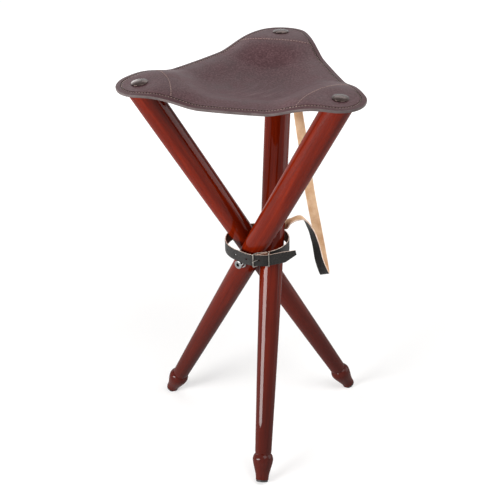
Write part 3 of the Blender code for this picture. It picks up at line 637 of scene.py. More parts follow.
@dataclass(frozen=True)
class GrainLeather(Finish):
    """Smooth-faced bridle leather, dyed and waxed.

    The eye sees a pebbled grain finer than a millimetre, cloudy dye, and a half-gloss wax.
    Its grain is drawn about twice as coarse as it is, because it would not show otherwise.
    """

    deep: str
    middle: str
    worn: str
    pebble_mm: float = 1.5
    cloud_mm: float = 26.0
    rough_low: float = 0.36
    rough_high: float = 0.54
    relief: float = 0.35
    shine: float = 0.3
    crease: float = 0.0
    crease_middle: tuple[float, float, float] = (0.019, -0.045, 0.58)
    crease_turn: float = -0.90
    crease_cells: tuple[float, float, float] = (25.0, 300.0, 25.0)
    crease_near: float = 8.0 * MM
    crease_far: float = 62.0 * MM
    # paler colour of the crease ridges, partly wear and partly painted highlight
    crease_pale_wear_and_highlight: str = "7C6366"
    rim: str = ""
    rim_depth: float = 8.5 * MM
    # colour of the painted shade in the stitch groove
    groove: str = "100808"

    def sockets(self, tree: Tree, place: Socket) -> dict[str, Any]:
        """Leather with a pebbled grain, creased and bordered where its fields ask for that.

        Args:
            tree: Tree of the material.
            place: Object coordinates.

        Returns:
            Links and values of the shader.
        """
        cloud = add(tree, "TexNoise", {"Vector": place, "Scale": per_metre(self.cloud_mm), "Detail": 5.0,
                                       "Roughness": 0.62})
        speck = add(tree, "TexNoise", {"Vector": place, "Scale": per_metre(1.6 * self.pebble_mm),
                                       "Detail": 2.0})
        pebble = add(tree, "TexVoronoi", {"Vector": place, "Scale": per_metre(self.pebble_mm),
                                          "Smoothness": 0.6}, feature="SMOOTH_F1")
        tone = add(tree, "Math", {0: cloud, 1: 0.45, 2: speck}, operation="MULTIPLY_ADD")
        tone = add(tree, "MapRange", {"Value": tone, "From Min": 0.47, "From Max": 0.98})
        colour = add(tree, "ValToRGB", {"Fac": tone},
                     stops=[(0.0, self.deep), (1.0, self.worn), (0.5, self.middle)])
        relief = add(tree, "Math", {0: pebble, 1: 0.6, 2: speck}, operation="MULTIPLY_ADD")
        normal = add(tree, "Bump", {"Height": relief, "Strength": self.relief, "Distance": 0.25 * MM})
        if self.crease:
            crease = self.creases(tree, place)
            # the crease ridges are drawn paler: partly wear, partly a painted highlight on the raised ridges
            lit = add(tree, "Math", {0: crease, 1: 0.6}, operation="MULTIPLY")
            colour = add(tree, "Mix", {0: lit, 6: colour, 7: linear(self.crease_pale_wear_and_highlight)}, 2, data_type="RGBA")
            normal = add(tree, "Bump", {"Height": crease, "Strength": self.crease, "Distance": 0.8 * MM,
                                        "Normal": normal})
        if self.rim:
            colour = self.border(tree, colour)
        rough = add(tree, "MapRange", {"Value": cloud, "From Min": 0.3, "From Max": 0.7,
                                       "To Min": self.rough_low, "To Max": self.rough_high})
        return {"Base Color": colour, "Roughness": rough, "Normal": normal,
                "Specular IOR Level": self.shine}

    def creases(self, tree: Tree, place: Socket) -> Socket:
        """Fine creases that sitting has drawn into the middle, about 3 mm apart and 40 mm long.

        Args:
            tree: Tree of the material.
            place: Object coordinates.

        Returns:
            1 on a crease, and less away from the middle.
        """
        x, y, height = self.crease_middle
        local = add(tree, "Mapping", {"Vector": place, "Location": (-x, -y, 0.0)})
        lying = add(tree, "VectorRotate", {"Vector": local, "Angle": self.crease_turn},
                    rotation_type="Z_AXIS")
        drawn = add(tree, "VectorMath", {0: lying, 1: self.crease_cells}, operation="MULTIPLY")
        lines = add(tree, "TexNoise", {"Vector": drawn, "Scale": 1.0, "Detail": 3.0, "Distortion": 0.5})
        ridge = add(tree, "MapRange", {"Value": lines, "From Min": 0.50, "From Max": 0.66})
        away = add(tree, "VectorMath", {0: local, 1: (0.0, 0.0, height)}, "Value", operation="DISTANCE")
        near = add(tree, "MapRange", {"Value": away, "From Min": self.crease_near,
                                      "From Max": self.crease_far, "To Min": 1.0, "To Max": 0.1},
                   interpolation_type="SMOOTHSTEP")
        return add(tree, "Math", {0: ridge, 1: near}, operation="MULTIPLY")

    def border(self, tree: Tree, colour: Socket) -> Socket:
        """Darker rim outside the border stitching, and a painted shade line in the stitch groove.

        Args:
            tree: Tree of the material.
            colour: Colour of the leather.

        Returns:
            The colour with its border.
        """
        trim = add(tree, "Attribute", out="Vector", attribute_name="trim")
        depth = add(tree, "SeparateXYZ", {"Vector": trim}, "X")
        apart = add(tree, "Math", {0: depth, 1: self.rim_depth}, operation="SUBTRACT")
        apart = add(tree, "Math", {0: apart}, operation="ABSOLUTE")
        # the second band is painted shade along the stitch groove
        bands = ((depth, 7.0 * MM, 9.5 * MM, 0.55, self.rim), (apart, 0.7 * MM, 1.9 * MM, 0.92, self.groove))
        for distance, start, end, share, tint in bands:
            band = add(tree, "MapRange", {"Value": distance, "From Min": start, "From Max": end,
                                          "To Min": share, "To Max": 0.0}, interpolation_type="SMOOTHSTEP")
            colour = add(tree, "Mix", {0: band, 6: colour, 7: linear(tint)}, 2, data_type="RGBA")
        return colour


@dataclass(frozen=True)
class FleshLeather(Finish):
    """Flesh side or cut edge of leather, shaved and left undyed or edge-dyed.

    The eye sees a dull, fuzzy surface with short fibres and uneven colour.
    """

    deep: str
    pale: str
    fibre_mm: float = 1.1
    cloud_mm: float = 14.0
    roughness: float = 0.85

    def sockets(self, tree: Tree, place: Socket) -> dict[str, Any]:
        """Dull fibres.

        Args:
            tree: Tree of the material.
            place: Object coordinates.

        Returns:
            Links and values of the shader.
        """
        fibre = add(tree, "TexNoise", {"Vector": place, "Scale": per_metre(self.fibre_mm), "Detail": 4.0,
                                       "Roughness": 0.7, "Distortion": 1.2})
        cloud = add(tree, "TexNoise", {"Vector": place, "Scale": per_metre(self.cloud_mm), "Detail": 3.0})
        tone = add(tree, "Math", {0: fibre, 1: 0.6, 2: cloud}, operation="MULTIPLY_ADD")
        return {"Base Color": add(tree, "ValToRGB", {"Fac": tone},
                                  stops=[(0.5, self.deep), (1.05, self.pale)]),
                "Normal": add(tree, "Bump", {"Height": fibre, "Strength": 0.4, "Distance": 0.2 * MM}),
                "Roughness": self.roughness, "Specular IOR Level": 0.2}


@dataclass(frozen=True)
class Metal(Finish):
    """Drawn or pressed steel, plated and polished.

    The eye sees a clear mirror with faint scratches and a slightly uneven polish.
    """

    deep: str
    bright: str
    rough_low: float
    rough_high: float
    cloud_mm: float = 6.0
    scratch_mm: float = 0.7
    scratch_length: float = 8.0

    def sockets(self, tree: Tree, place: Socket) -> dict[str, Any]:
        """Metal with slanting scratches.

        Args:
            tree: Tree of the material.
            place: Object coordinates.

        Returns:
            Links and values of the shader.
        """
        cloud = add(tree, "TexNoise", {"Vector": place, "Scale": per_metre(self.cloud_mm), "Detail": 4.0})
        line = add(tree, "Mapping", {"Vector": place, "Rotation": (0.4, 0.7, 0.2),
                                     "Scale": (1.0, self.scratch_length, 1.0)})
        scratch = add(tree, "TexNoise", {"Vector": line, "Detail": 5.0, "Roughness": 0.7,
                                         "Scale": per_metre(self.scratch_length * self.scratch_mm)})
        return {"Base Color": add(tree, "ValToRGB", {"Fac": cloud},
                                  stops=[(0.3, self.deep), (0.7, self.bright)]),
                "Roughness": add(tree, "MapRange", {"Value": scratch, "From Min": 0.3, "From Max": 0.7,
                                                    "To Min": self.rough_low, "To Max": self.rough_high}),
                "Normal": add(tree, "Bump", {"Height": scratch, "Strength": 0.05, "Distance": 0.03 * MM}),
                "Metallic": 1.0}


@dataclass(frozen=True)
class MouldedRubber(Finish):
    """Black rubber, moulded, dull and lightly scuffed."""

    name: str = "moulded_rubber"
    black: str = "0F0F0F"
    scuffed: str = "2A2927"
    scuff_mm: float = 2.5

    def sockets(self, tree: Tree, place: Socket) -> dict[str, Any]:
        """Rubber with scuffs.

        Args:
            tree: Tree of the material.
            place: Object coordinates.

        Returns:
            Links and values of the shader.
        """
        scuff = add(tree, "TexNoise", {"Vector": place, "Scale": per_metre(self.scuff_mm), "Detail": 5.0,
                                       "Roughness": 0.65})
        return {"Base Color": add(tree, "ValToRGB", {"Fac": scuff},
                                  stops=[(0.45, self.black), (0.8, self.scuffed)]),
                "Roughness": add(tree, "MapRange", {"Value": scuff, "To Min": 0.42, "To Max": 0.7}),
                "Normal": add(tree, "Bump", {"Height": scuff, "Strength": 0.25, "Distance": 0.1 * MM})}


@dataclass(frozen=True)
class WaxedThread(Finish):
    """Twisted linen thread, waxed: a warm pale brown with the twist as light and dark turns."""

    name: str = "waxed_thread"
    deep: str = "7C6058"
    pale: str = "B4978C"
    twist_mm: float = 0.8

    def sockets(self, tree: Tree, place: Socket) -> dict[str, Any]:
        """Thread with its twist.

        Args:
            tree: Tree of the material.
            place: Object coordinates.

        Returns:
            Links and values of the shader.
        """
        twist = add(tree, "TexNoise", {"Vector": place, "Scale": per_metre(self.twist_mm), "Detail": 2.0})
        return {"Base Color": add(tree, "ValToRGB", {"Fac": twist},
                                  stops=[(0.35, self.deep), (0.65, self.pale)]),
                "Normal": add(tree, "Bump", {"Height": twist, "Strength": 0.5, "Distance": 0.1 * MM}),
                "Roughness": 0.6}


@dataclass(frozen=True)
class StudioFloor(Finish):
    """Matt pale grey board under the stool, lifted to white where it is seen, and more so further out."""

    name: str = "studio_floor"
    pale: str = "CAC9C8"
    shade: str = "C5C4C3"
    near_lift: float = 0.42
    far_lift: float = 0.8
    near: float = 0.3
    far: float = 1.7

    def sockets(self, tree: Tree, place: Socket) -> dict[str, Any]:
        """Floor with a faint cloud in it.

        Args:
            tree: Tree of the material.
            place: Object coordinates.

        Returns:
            Links and values of the shader.
        """
        cloud = add(tree, "TexNoise", {"Vector": place, "Scale": 1.5, "Detail": 2.0})
        away = add(tree, "VectorMath", {0: place}, "Value", operation="LENGTH")
        lift = add(tree, "MapRange", {"Value": away, "From Min": self.near, "From Max": self.far,
                                      "To Min": self.near_lift, "To Max": self.far_lift},
                   interpolation_type="SMOOTHSTEP")
        return {"Base Color": add(tree, "ValToRGB", {"Fac": cloud},
                                  stops=[(0.3, self.shade), (0.7, self.pale)]),
                "Emission Strength": add(tree, "Math", {0: lift, 1: seen(tree)}, operation="MULTIPLY"),
                "Emission Color": WHITE, "Roughness": 0.9, "Specular IOR Level": 0.1}


class Finishes:
    """Every finish of the stool, made once."""

    def __init__(self) -> None:
        """Make the materials."""
        self.wood = LacqueredMahogany().make()
        self.seat = GrainLeather("seat_leather", "432D2F", "52393C", "684E51", shine=0.09, crease=0.35,
                                 rim="462E30").make()
        self.seat_edge = FleshLeather("seat_cut_edge", "3E3433", "605554", roughness=0.6).make()
        self.seat_flesh = FleshLeather("seat_flesh", "4A3330", "6F544C").make()
        self.black = GrainLeather("black_leather", "131211", "1C1A19", "2E2B29", pebble_mm=1.2, cloud_mm=8.0,
                                  rough_low=0.45, rough_high=0.62, relief=0.5, shine=0.22).make()
        self.tan = FleshLeather("tan_flesh", "D8A87E", "F6D2AC").make()
        self.belt_flesh = FleshLeather("belt_flesh", "4A2A1A", "7A4C33").make()
        self.cut = FleshLeather("cut_edge", "E0BCA6", "FBE6D8").make()
        self.thread = WaxedThread().make()
        self.stud = Metal("pressed_steel", "3C302D", "4E423F", 0.18, 0.32).make()
        self.chrome = Metal("chrome_plate", "727272", "949494", 0.05, 0.12).make()
        self.steel = Metal("nickel_wire", "6E6B66", "9A968F", 0.12, 0.26).make()
        self.plain = Metal("plain_steel", "7E7E7E", "A6A6A6", 0.28, 0.42).make()
        self.rubber = MouldedRubber().make()
        # near-black metal in the nut's hex socket: painted shade in the recess
        self.socket = Metal("socket_shade_black", "161616", "262626", 0.4, 0.55).make()
        self.floor = StudioFloor().make()


# Places that the sub-assemblies share


@dataclass(frozen=True)
class LegPlace:
    """Where one leg stands: its pivot, the pivot's axis, the heading that its top leans to and how far."""

    key: str
    pivot: np.ndarray
    across: np.ndarray
    lean: np.ndarray
    angle: float = math.radians(29.5)

    @property
    def up(self) -> np.ndarray:
        """Unit vector up the leg."""
        return math.cos(self.angle) * UP + math.sin(self.angle) * self.lean

    @property
    def side(self) -> np.ndarray:
        """Unit vector square to the leg and to its pivot axis."""
        return math.cos(self.angle) * self.lean - math.sin(self.angle) * UP

    def world(self, local: np.ndarray) -> np.ndarray:
        """Places given along the pivot axis, the side and the leg, in the stool's frame."""
        return self.pivot + local @ np.array([self.across, self.side, self.up])

    def local(self, places: np.ndarray) -> np.ndarray:
        """Places in the stool's frame, along the pivot axis, the side and the leg."""
        return (places - self.pivot) @ np.array([self.across, self.side, self.up]).T


@dataclass(frozen=True)
class Hub:
    """Middle of the crossing, and the three legs round it."""

    origin: np.ndarray
    legs: dict[str, LegPlace]

    @staticmethod
    def from_joints(joints: Sequence[Mapping[str, Any]]) -> "Hub":
        """Hub read from the three fold hinges: the middle of their places.

        Args:
            joints: The frame's joints.

        Returns:
            The hub.
        """
        legs = {}
        for joint in joints:
            if joint["name"].startswith("fold_"):
                across = unit(np.array(joint["axis"], float))
                key = joint["name"][-1]
                legs[key] = LegPlace(key, np.array(joint["pos_m"], float), across, np.cross(UP, across))
        return Hub(np.mean([leg.pivot for leg in legs.values()], axis=0), legs)


@dataclass
class SeatForm:
    """Shape of the slung leather, shared by the seat, its patches, its stitches and the studs."""

    hub: Hub
    upper: float = 0.331
    lean: float = math.radians(29.5)
    tilt: float = math.radians(6.0)
    top_dia: float = 0.040
    thickness: float = 0.0045
    corner_radius: float = 0.0425
    ridge_sag: float = 0.0075
    bowl_sag: float = 0.018
    flap_droop: float = math.radians(10.5)
    ridge_round: float = 0.015
    flat_margin: float = 0.001
    blend_reach: float = 0.104
    stud_inset: float = 0.0085
    fit_gap: float = 0.0003
    patch_thick: float = 0.0025
    patch_gap: float = 0.0005
    slope_step: float = 0.1 * MM

    def __post_init__(self) -> None:
        """Work out the places that follow from the sizes, in plan from the hub axis."""
        self.middle = self.fit_gap + self.patch_thick + self.patch_gap + 0.5 * self.thickness
        self.stud_seat = self.middle + 0.5 * self.thickness + self.fit_gap
        top = self.upper * math.cos(self.lean) + self.middle * math.cos(self.tilt)
        self.top_height = float(self.hub.origin[2]) + top
        reach = self.upper * math.sin(self.lean) + self.middle * math.sin(self.tilt)
        self.studs = {key: (leg.pivot - self.hub.origin + reach * leg.lean)[:2]
                      for key, leg in self.hub.legs.items()}
        self.reach = float(np.linalg.norm(self.studs["c"]))
        self.rise = 1.5 * self.reach  # of the triangle of studs
        self.shares = np.linalg.inv(np.column_stack([list(self.studs.values()), np.ones(3)]))
        self.corner_reach = self.reach - self.stud_inset
        self.corners = {key: plan * self.corner_reach / self.reach for key, plan in self.studs.items()}
        self.first = math.atan2(self.studs["c"][1], self.studs["c"][0])

    def height(self, plans: np.ndarray) -> np.ndarray:
        """Height of the middle of the leather.

        Inside the triangle of the studs it sags as a bowl, by sums and products of the shares of the three
        studs in a place; past the ridges between the studs it droops; and round each stud it eases into the
        plane of the tilted leg top.

        Args:
            plans: Places in plan from the hub axis.

        Returns:
            Heights above the floor.
        """
        shares = np.column_stack([plans, np.ones(len(plans))]) @ self.shares
        rounding = self.ridge_round / self.rise
        inside = 0.5 * (shares + np.sqrt(shares**2 + rounding**2))
        beyond = self.rise * np.sum(inside - shares, axis=1)
        inside /= np.sum(inside, axis=1, keepdims=True)
        ridge = 2.0 * (1.0 - np.sum(inside**2, axis=1))
        bowl = 27.0 * np.prod(inside, axis=1)
        slung = self.top_height - self.ridge_sag * ridge - self.bowl_sag * bowl
        slung -= math.tan(self.flap_droop) * beyond
        height = slung.copy()
        near = 0.5 * self.top_dia / math.cos(self.lean - self.tilt) + self.flat_margin
        for key, leg in self.hub.legs.items():
            offset = plans - self.studs[key]
            hold = 1.0 - smoothstep(near, self.blend_reach, np.linalg.norm(offset, axis=1))
            height += hold * (self.top_height - math.tan(self.tilt) * (offset @ leg.lean[:2]) - slung)
        return height

    def normal(self, plans: np.ndarray) -> np.ndarray:
        """Upward normal of the middle surface, from differences of its height over a small step.

        Args:
            plans: Places in plan from the hub axis.

        Returns:
            Unit normals.
        """
        slope = [(self.height(plans + shift) - self.height(plans - shift)) / (2.0 * self.slope_step)
                 for shift in self.slope_step * np.eye(2)]
        return unit(np.column_stack([-slope[0], -slope[1], np.ones(len(plans))]))

    def surface(self, plans: np.ndarray, offset: np.ndarray | float) -> np.ndarray:
        """Points of the leather at an offset along its normal from its middle.

        Args:
            plans: Places in plan from the hub axis, any grid of them.
            offset: Offsets, upward.

        Returns:
            Points in the stool's frame, in the same grid.
        """
        flat = plans.reshape(-1, 2)
        middle = np.column_stack([flat + self.hub.origin[:2], self.height(flat)])
        raised = np.broadcast_to(offset, plans.shape[:-1]).reshape(-1, 1)
        return (middle + raised * self.normal(flat)).reshape(*plans.shape[:-1], 3)

    def outline(self, turns: np.ndarray) -> tuple[np.ndarray, np.ndarray]:
        """Edge of the seat and its outward normal in plan, at angles from the heading of stud C.

        The edge is a triangle with round corners: a circle about each corner, and straight sides.

        Args:
            turns: Angles in radians.

        Returns:
            Points of the edge and unit normals.
        """
        corner = np.round(turns / (2.0 * SIXTH)) * 2.0 * SIXTH
        turn = turns - corner
        touch = math.atan2(self.corner_radius * math.sin(SIXTH),
                           self.corner_reach + self.corner_radius * math.cos(SIXTH))
        offset = self.corner_reach * np.sin(turn)
        lobe = self.corner_reach * np.cos(turn)
        lobe = lobe + np.sqrt(np.maximum(self.corner_radius**2 - offset**2, 0.0))
        flat = (self.corner_reach * math.cos(SIXTH) + self.corner_radius) / np.cos(SIXTH - np.abs(turn))
        on_lobe = np.abs(turn) < touch
        reach = np.where(on_lobe, lobe, flat)
        lobe_turn = np.arctan2(reach * np.sin(turn), reach * np.cos(turn) - self.corner_reach)
        facing = self.first + corner + np.where(on_lobe, lobe_turn, np.copysign(SIXTH, turn))
        place = reach[:, None] * np.column_stack([np.cos(self.first + turns), np.sin(self.first + turns)])
        return place, np.column_stack([np.cos(facing), np.sin(facing)])

    def edge_distance(self, plans: np.ndarray) -> np.ndarray:
        """Distance in from the edge: to the nearest side's line, or to the circle of a corner beyond it.

        Args:
            plans: Places in plan from the hub axis.

        Returns:
            The distances.
        """
        turns = [math.degrees(self.first) + 120.0 * index for index in range(3)]
        sides = [0.5 * self.corner_reach + self.corner_radius - plans @ heading(turn + 60.0)
                 for turn in turns]
        distance = np.min(sides, axis=0)
        for turn in turns:
            offset = plans - self.corner_reach * heading(turn)
            beyond = (offset @ heading(turn - 30.0) > 0.0) & (offset @ heading(turn + 30.0) > 0.0)
            distance = np.where(beyond, self.corner_radius - np.linalg.norm(offset, axis=1), distance)
        return distance


# Sub-assemblies


@dataclass
class SubAssembly:
    """A group of pieces that are made and dressed together."""

    finishes: Finishes
    hub: Hub
    pieces: list[bpy.types.Object] = field(default_factory=list, init=False)

    def keep(self, piece: bpy.types.Object, slot: str, body: str | None, *nodes: str) -> bpy.types.Object:
        """Attach a piece to its body, hide the CAD nodes that it stands for, and list it.

        Args:
            piece: The piece.
            slot: The record's material slot; not used.
            body: Body that it rides on, or None to leave it unattached.
            *nodes: CAD nodes that it stands for.

        Returns:
            The piece.
        """
        if body:
            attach(piece, body)
        if nodes:
            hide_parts(*nodes)
        self.pieces.append(piece)
        return piece

    def build(self) -> None:
        """Make the pieces."""
        raise NotImplementedError


@dataclass
class TurnedLeg(SubAssembly):
    """One leg, its rubber tip and the stud in its top.

    The grain is shifted by a length for each letter of the alphabet, so that no two legs look alike.
    """

    form: SeatForm
    place: LegPlace
    upper: float = 0.331
    lower: float = 0.3435
    top_dia: float = 0.040
    waist_dia: float = 0.0357
    ankle_dia: float = 0.0250
    foot_height: float = 0.038
    bulb_dia: float = 0.0315
    bulb_drop: float = 0.009
    base_dia: float = 0.0195
    base_drop: float = 0.0017
    ankle_groove: float = 0.4 * MM
    groove_share: float = 0.12
    shoulder_power: float = 0.8
    taper_span: tuple[float, float] = (-0.06, 0.95)
    top_easing: float = 0.5 * MM
    spot_depth: float = 0.0015
    spot_dia: float = 0.0166
    bore_dia: float = 0.0086
    cutter_reach: float = 0.03
    tip_dia: float = 0.018
    tip_height: float = 0.005
    tip_gap: float = 0.0003
    tip_easing: float = 0.9 * MM
    head_dia: float = 0.024
    head_lip: float = 0.0016
    head_crown: float = 0.0020
    head_undercut: float = 2.0 * MM
    shank_dia: float = 0.005
    shank_bite: float = 0.025
    grain_shift: float = 0.37
    sides: int = 96
    rows: int = 149
    shoulder_rows: int = 14
    taper_rows: int = 23

    def radius(self, along: np.ndarray) -> np.ndarray:
        """Radius of the shaft: a parabola through its top, waist and ankle.

        Args:
            along: Distances up the leg from its pivot.

        Returns:
            The radii.
        """
        ankle = self.foot_height - self.lower
        rise = (self.top_dia - self.waist_dia) / self.upper
        fall = (self.ankle_dia - self.waist_dia) / ankle
        bow = (rise - fall) / (self.upper - ankle)
        return 0.5 * (self.waist_dia + (rise - bow * self.upper) * along + bow * along * along)

    def foot(self) -> np.ndarray:
        """Profile of the foot from the base up: an S out to the bulb, then a round shoulder in to the ankle.

        Returns:
            Radius and height above the base, one row for each point.
        """
        ankle, bulb, base = 0.5 * self.ankle_dia, 0.5 * self.bulb_dia, 0.5 * self.base_dia
        t = np.linspace(0.0, 1.0, self.shoulder_rows)
        groove = self.ankle_groove * np.exp(-((t / self.groove_share) ** 2))
        shoulder = ankle + (bulb - ankle) * np.sin(QUARTER * t) ** self.shoulder_power - groove
        down = np.linspace(0.0, 1.0, self.taper_rows + 1)[1:]
        taper = bulb - (bulb - base) * smoothstep(*self.taper_span, down)
        low = (self.foot_height - self.bulb_drop) * (1.0 - down) - self.base_drop * down
        upper = np.column_stack([shoulder, self.foot_height - self.bulb_drop * t])
        return np.vstack([upper, np.column_stack([taper, low])])[::-1]

    def wood(self) -> Skin:
        """Leg turned about its axis, whose top rows are drawn onto the tilted plane of the mitre.

        Returns:
            The closed surface.
        """
        turns = full_turn(self.sides)
        slant = math.tan(self.form.lean - self.form.tilt) * np.sin(turns)
        top = self.upper + self.radius(np.full(self.sides, self.upper)) * slant
        top = self.upper + self.radius(top) * slant
        foot = self.foot()
        ankle = self.foot_height - self.lower
        share = np.linspace(0.0, 1.0, self.rows + 1)[1:, None]
        along = ankle + share * (top - self.top_easing - ankle)
        heights = np.vstack([np.tile(foot[:, 1:] - self.lower, (1, self.sides)), along, top])
        last = self.radius(top) - self.top_easing
        reach = np.vstack([np.tile(foot[:, :1], (1, self.sides)), self.radius(along), last])
        local = np.stack([reach * np.cos(turns), reach * np.sin(turns), heights], axis=-1)
        base, crown = self.place.world(np.outer([-self.lower - self.base_drop, self.upper], UP))
        return skin(self.place.world(local), caps=(base, crown))

    def build(self) -> None:
        """Leg, tip and stud as pieces on the leg's body."""
        key, place, dress = self.place.key, self.place, self.finishes
        body = "leg_" + key
        leg = put("turned_leg_" + key, self.wood(), [dress.wood])
        spot = rod(0.5 * self.spot_dia, 0.5 * self.waist_dia - self.spot_depth, self.cutter_reach)
        bore = rod(0.5 * self.bore_dia, -self.cutter_reach, self.cutter_reach)
        cut(leg, [turned(hole, place.pivot, place.across, 48) for hole in (spot, bore)])
        note(leg, "grain", place.local(vertex_places(leg)) + self.grain_shift * ord(key))
        self.keep(leg, "lacquered_wood", body, "leg_" + key)
        tip = put("rubber_tip_" + key, self.tip(), [dress.rubber])
        self.keep(tip, "rubber", body, "foot_glide_" + key)
        stud = put("stud_head_" + key, self.stud(), [dress.stud])
        self.keep(stud, "stud_steel", body, "seat_stud_" + key)

    def tip(self) -> Skin:
        """Short turned cylinder with eased edges, pressed flat at the floor.

        Returns:
            The closed surface.
        """
        outline = rod(0.5 * self.tip_dia, -self.base_drop - 0.5 * self.tip_gap, -self.tip_height)
        profile = fillet(outline, self.tip_easing)
        across = np.linspace(0.0, 1.0, 8)[1:-1, None]
        disc = profile[-2] + across * (profile[-1] - profile[-2])
        profile = np.vstack([profile[:-1], disc, profile[-1:]])
        made = turned(profile, self.place.pivot - self.lower * self.place.up, self.place.up, 48)
        made.points[:, 2] = np.maximum(made.points[:, 2], 0.0)
        return made

    def stud(self) -> Skin:
        """Domed head whose lip rolls under to a narrower seat, turned on a shank that goes down into the leg.

        Returns:
            The closed surface.
        """
        radius, shank, roll = 0.5 * self.head_dia, 0.5 * self.shank_dia, 0.5 * self.head_lip
        share = np.sin(QUARTER * np.linspace(0.0, 1.0, 16))
        crown = self.head_lip + self.head_crown * (1.0 - share**2.4)
        turn = np.linspace(QUARTER, -QUARTER, 10)[1:]
        lip = np.column_stack([radius - roll + roll * np.cos(turn), roll + roll * np.sin(turn)])
        end = -self.form.stud_seat - self.shank_bite
        profile = np.vstack([np.column_stack([(radius - roll) * share, crown]), lip,
                             [(radius - self.head_undercut, 0.0), (shank, 0.0), (shank, end), (0.0, end)]])
        axis = math.cos(self.form.tilt) * UP + math.sin(self.form.tilt) * self.place.lean
        start = self.place.pivot + self.upper * self.place.up + self.form.stud_seat * axis
        return turned(profile, start, axis)


@dataclass
class PivotHardware(SubAssembly):
    """Chromed barrel nuts; the bolt and washers keep their CAD shapes."""

    nut_start: float = 0.04015
    nut_dia: float = 0.013
    nut_length: float = 0.009
    key_dia: float = 0.0058
    key_depth: float = 0.0025
    key_land: float = 0.5 * MM
    key_chamfer: float = 0.2 * MM
    key_lead: float = 1.06
    key_cone: float = 0.4 * MM
    key_tip: float = 0.6 * MM
    easing: float = 0.9 * MM
    sides: int = 96
    sharp: float = 28.0

    def nut(self, leg: LegPlace) -> Skin:
        """Turned barrel whose end has a hexagon socket: rings of circles, then rings of hexagons.

        A hexagon's radius at an angle is its inner radius over the cosine of the angle from the nearest flat.

        Args:
            leg: The leg that the nut holds.

        Returns:
            The closed surface.
        """
        radius, end, key = 0.5 * self.nut_dia, self.nut_length, 0.5 * self.key_dia
        barrel = fillet([(0.0, 0.0), (radius, 0.0), (radius, end), (key + self.key_land, end)], self.easing)[1:]
        flat = np.mod(full_turn(self.sides), SIXTH) - 0.5 * SIXTH
        hexagon = key * math.cos(0.5 * SIXTH) / np.cos(flat)
        floor = end - self.key_depth
        socket = np.array([[self.key_lead, end], [1.0, end - self.key_chamfer], [1.0, floor],
                           [0.5, floor - self.key_cone]])
        reach = np.vstack([np.tile(barrel[:, :1], (1, self.sides)), socket[:, :1] * hexagon])
        heights = np.concatenate([barrel[:, 1], socket[:, 1]])[:, None, None]
        start = self.hub.origin + self.nut_start * leg.across
        rings = start + reach[..., None] * circle_round(leg.across, self.sides) + heights * leg.across
        made = skin(rings, caps=(start, start + (floor - self.key_tip) * leg.across))
        made.slots = np.full(len(made.faces), NutFace.BARREL)
        last = (len(rings) - 1) * self.sides
        made.slots[last - (len(socket) - 1) * self.sides:last] = NutFace.SOCKET
        made.slots[-self.sides:] = NutFace.SOCKET
        return made

    def build(self) -> None:
        """Nuts on the waist, and finishes for the CAD bolt and washers."""
        for key, leg in self.hub.legs.items():
            # the socket faces take the near-black painted shade
            dress = [self.finishes.chrome, self.finishes.socket]
            nut = put("barrel_nut_" + key, self.nut(leg), dress, self.sharp)
            self.keep(nut, "chrome", "waist", "pivot_nut_" + key)
        for name in ("three_way_bolt", "pivot_washer_a", "pivot_washer_b", "pivot_washer_c"):
            node = frame["nodes"][name]
            node.data.materials.clear()
            node.data.materials.append(self.finishes.plain)
            self.pieces.append(node)


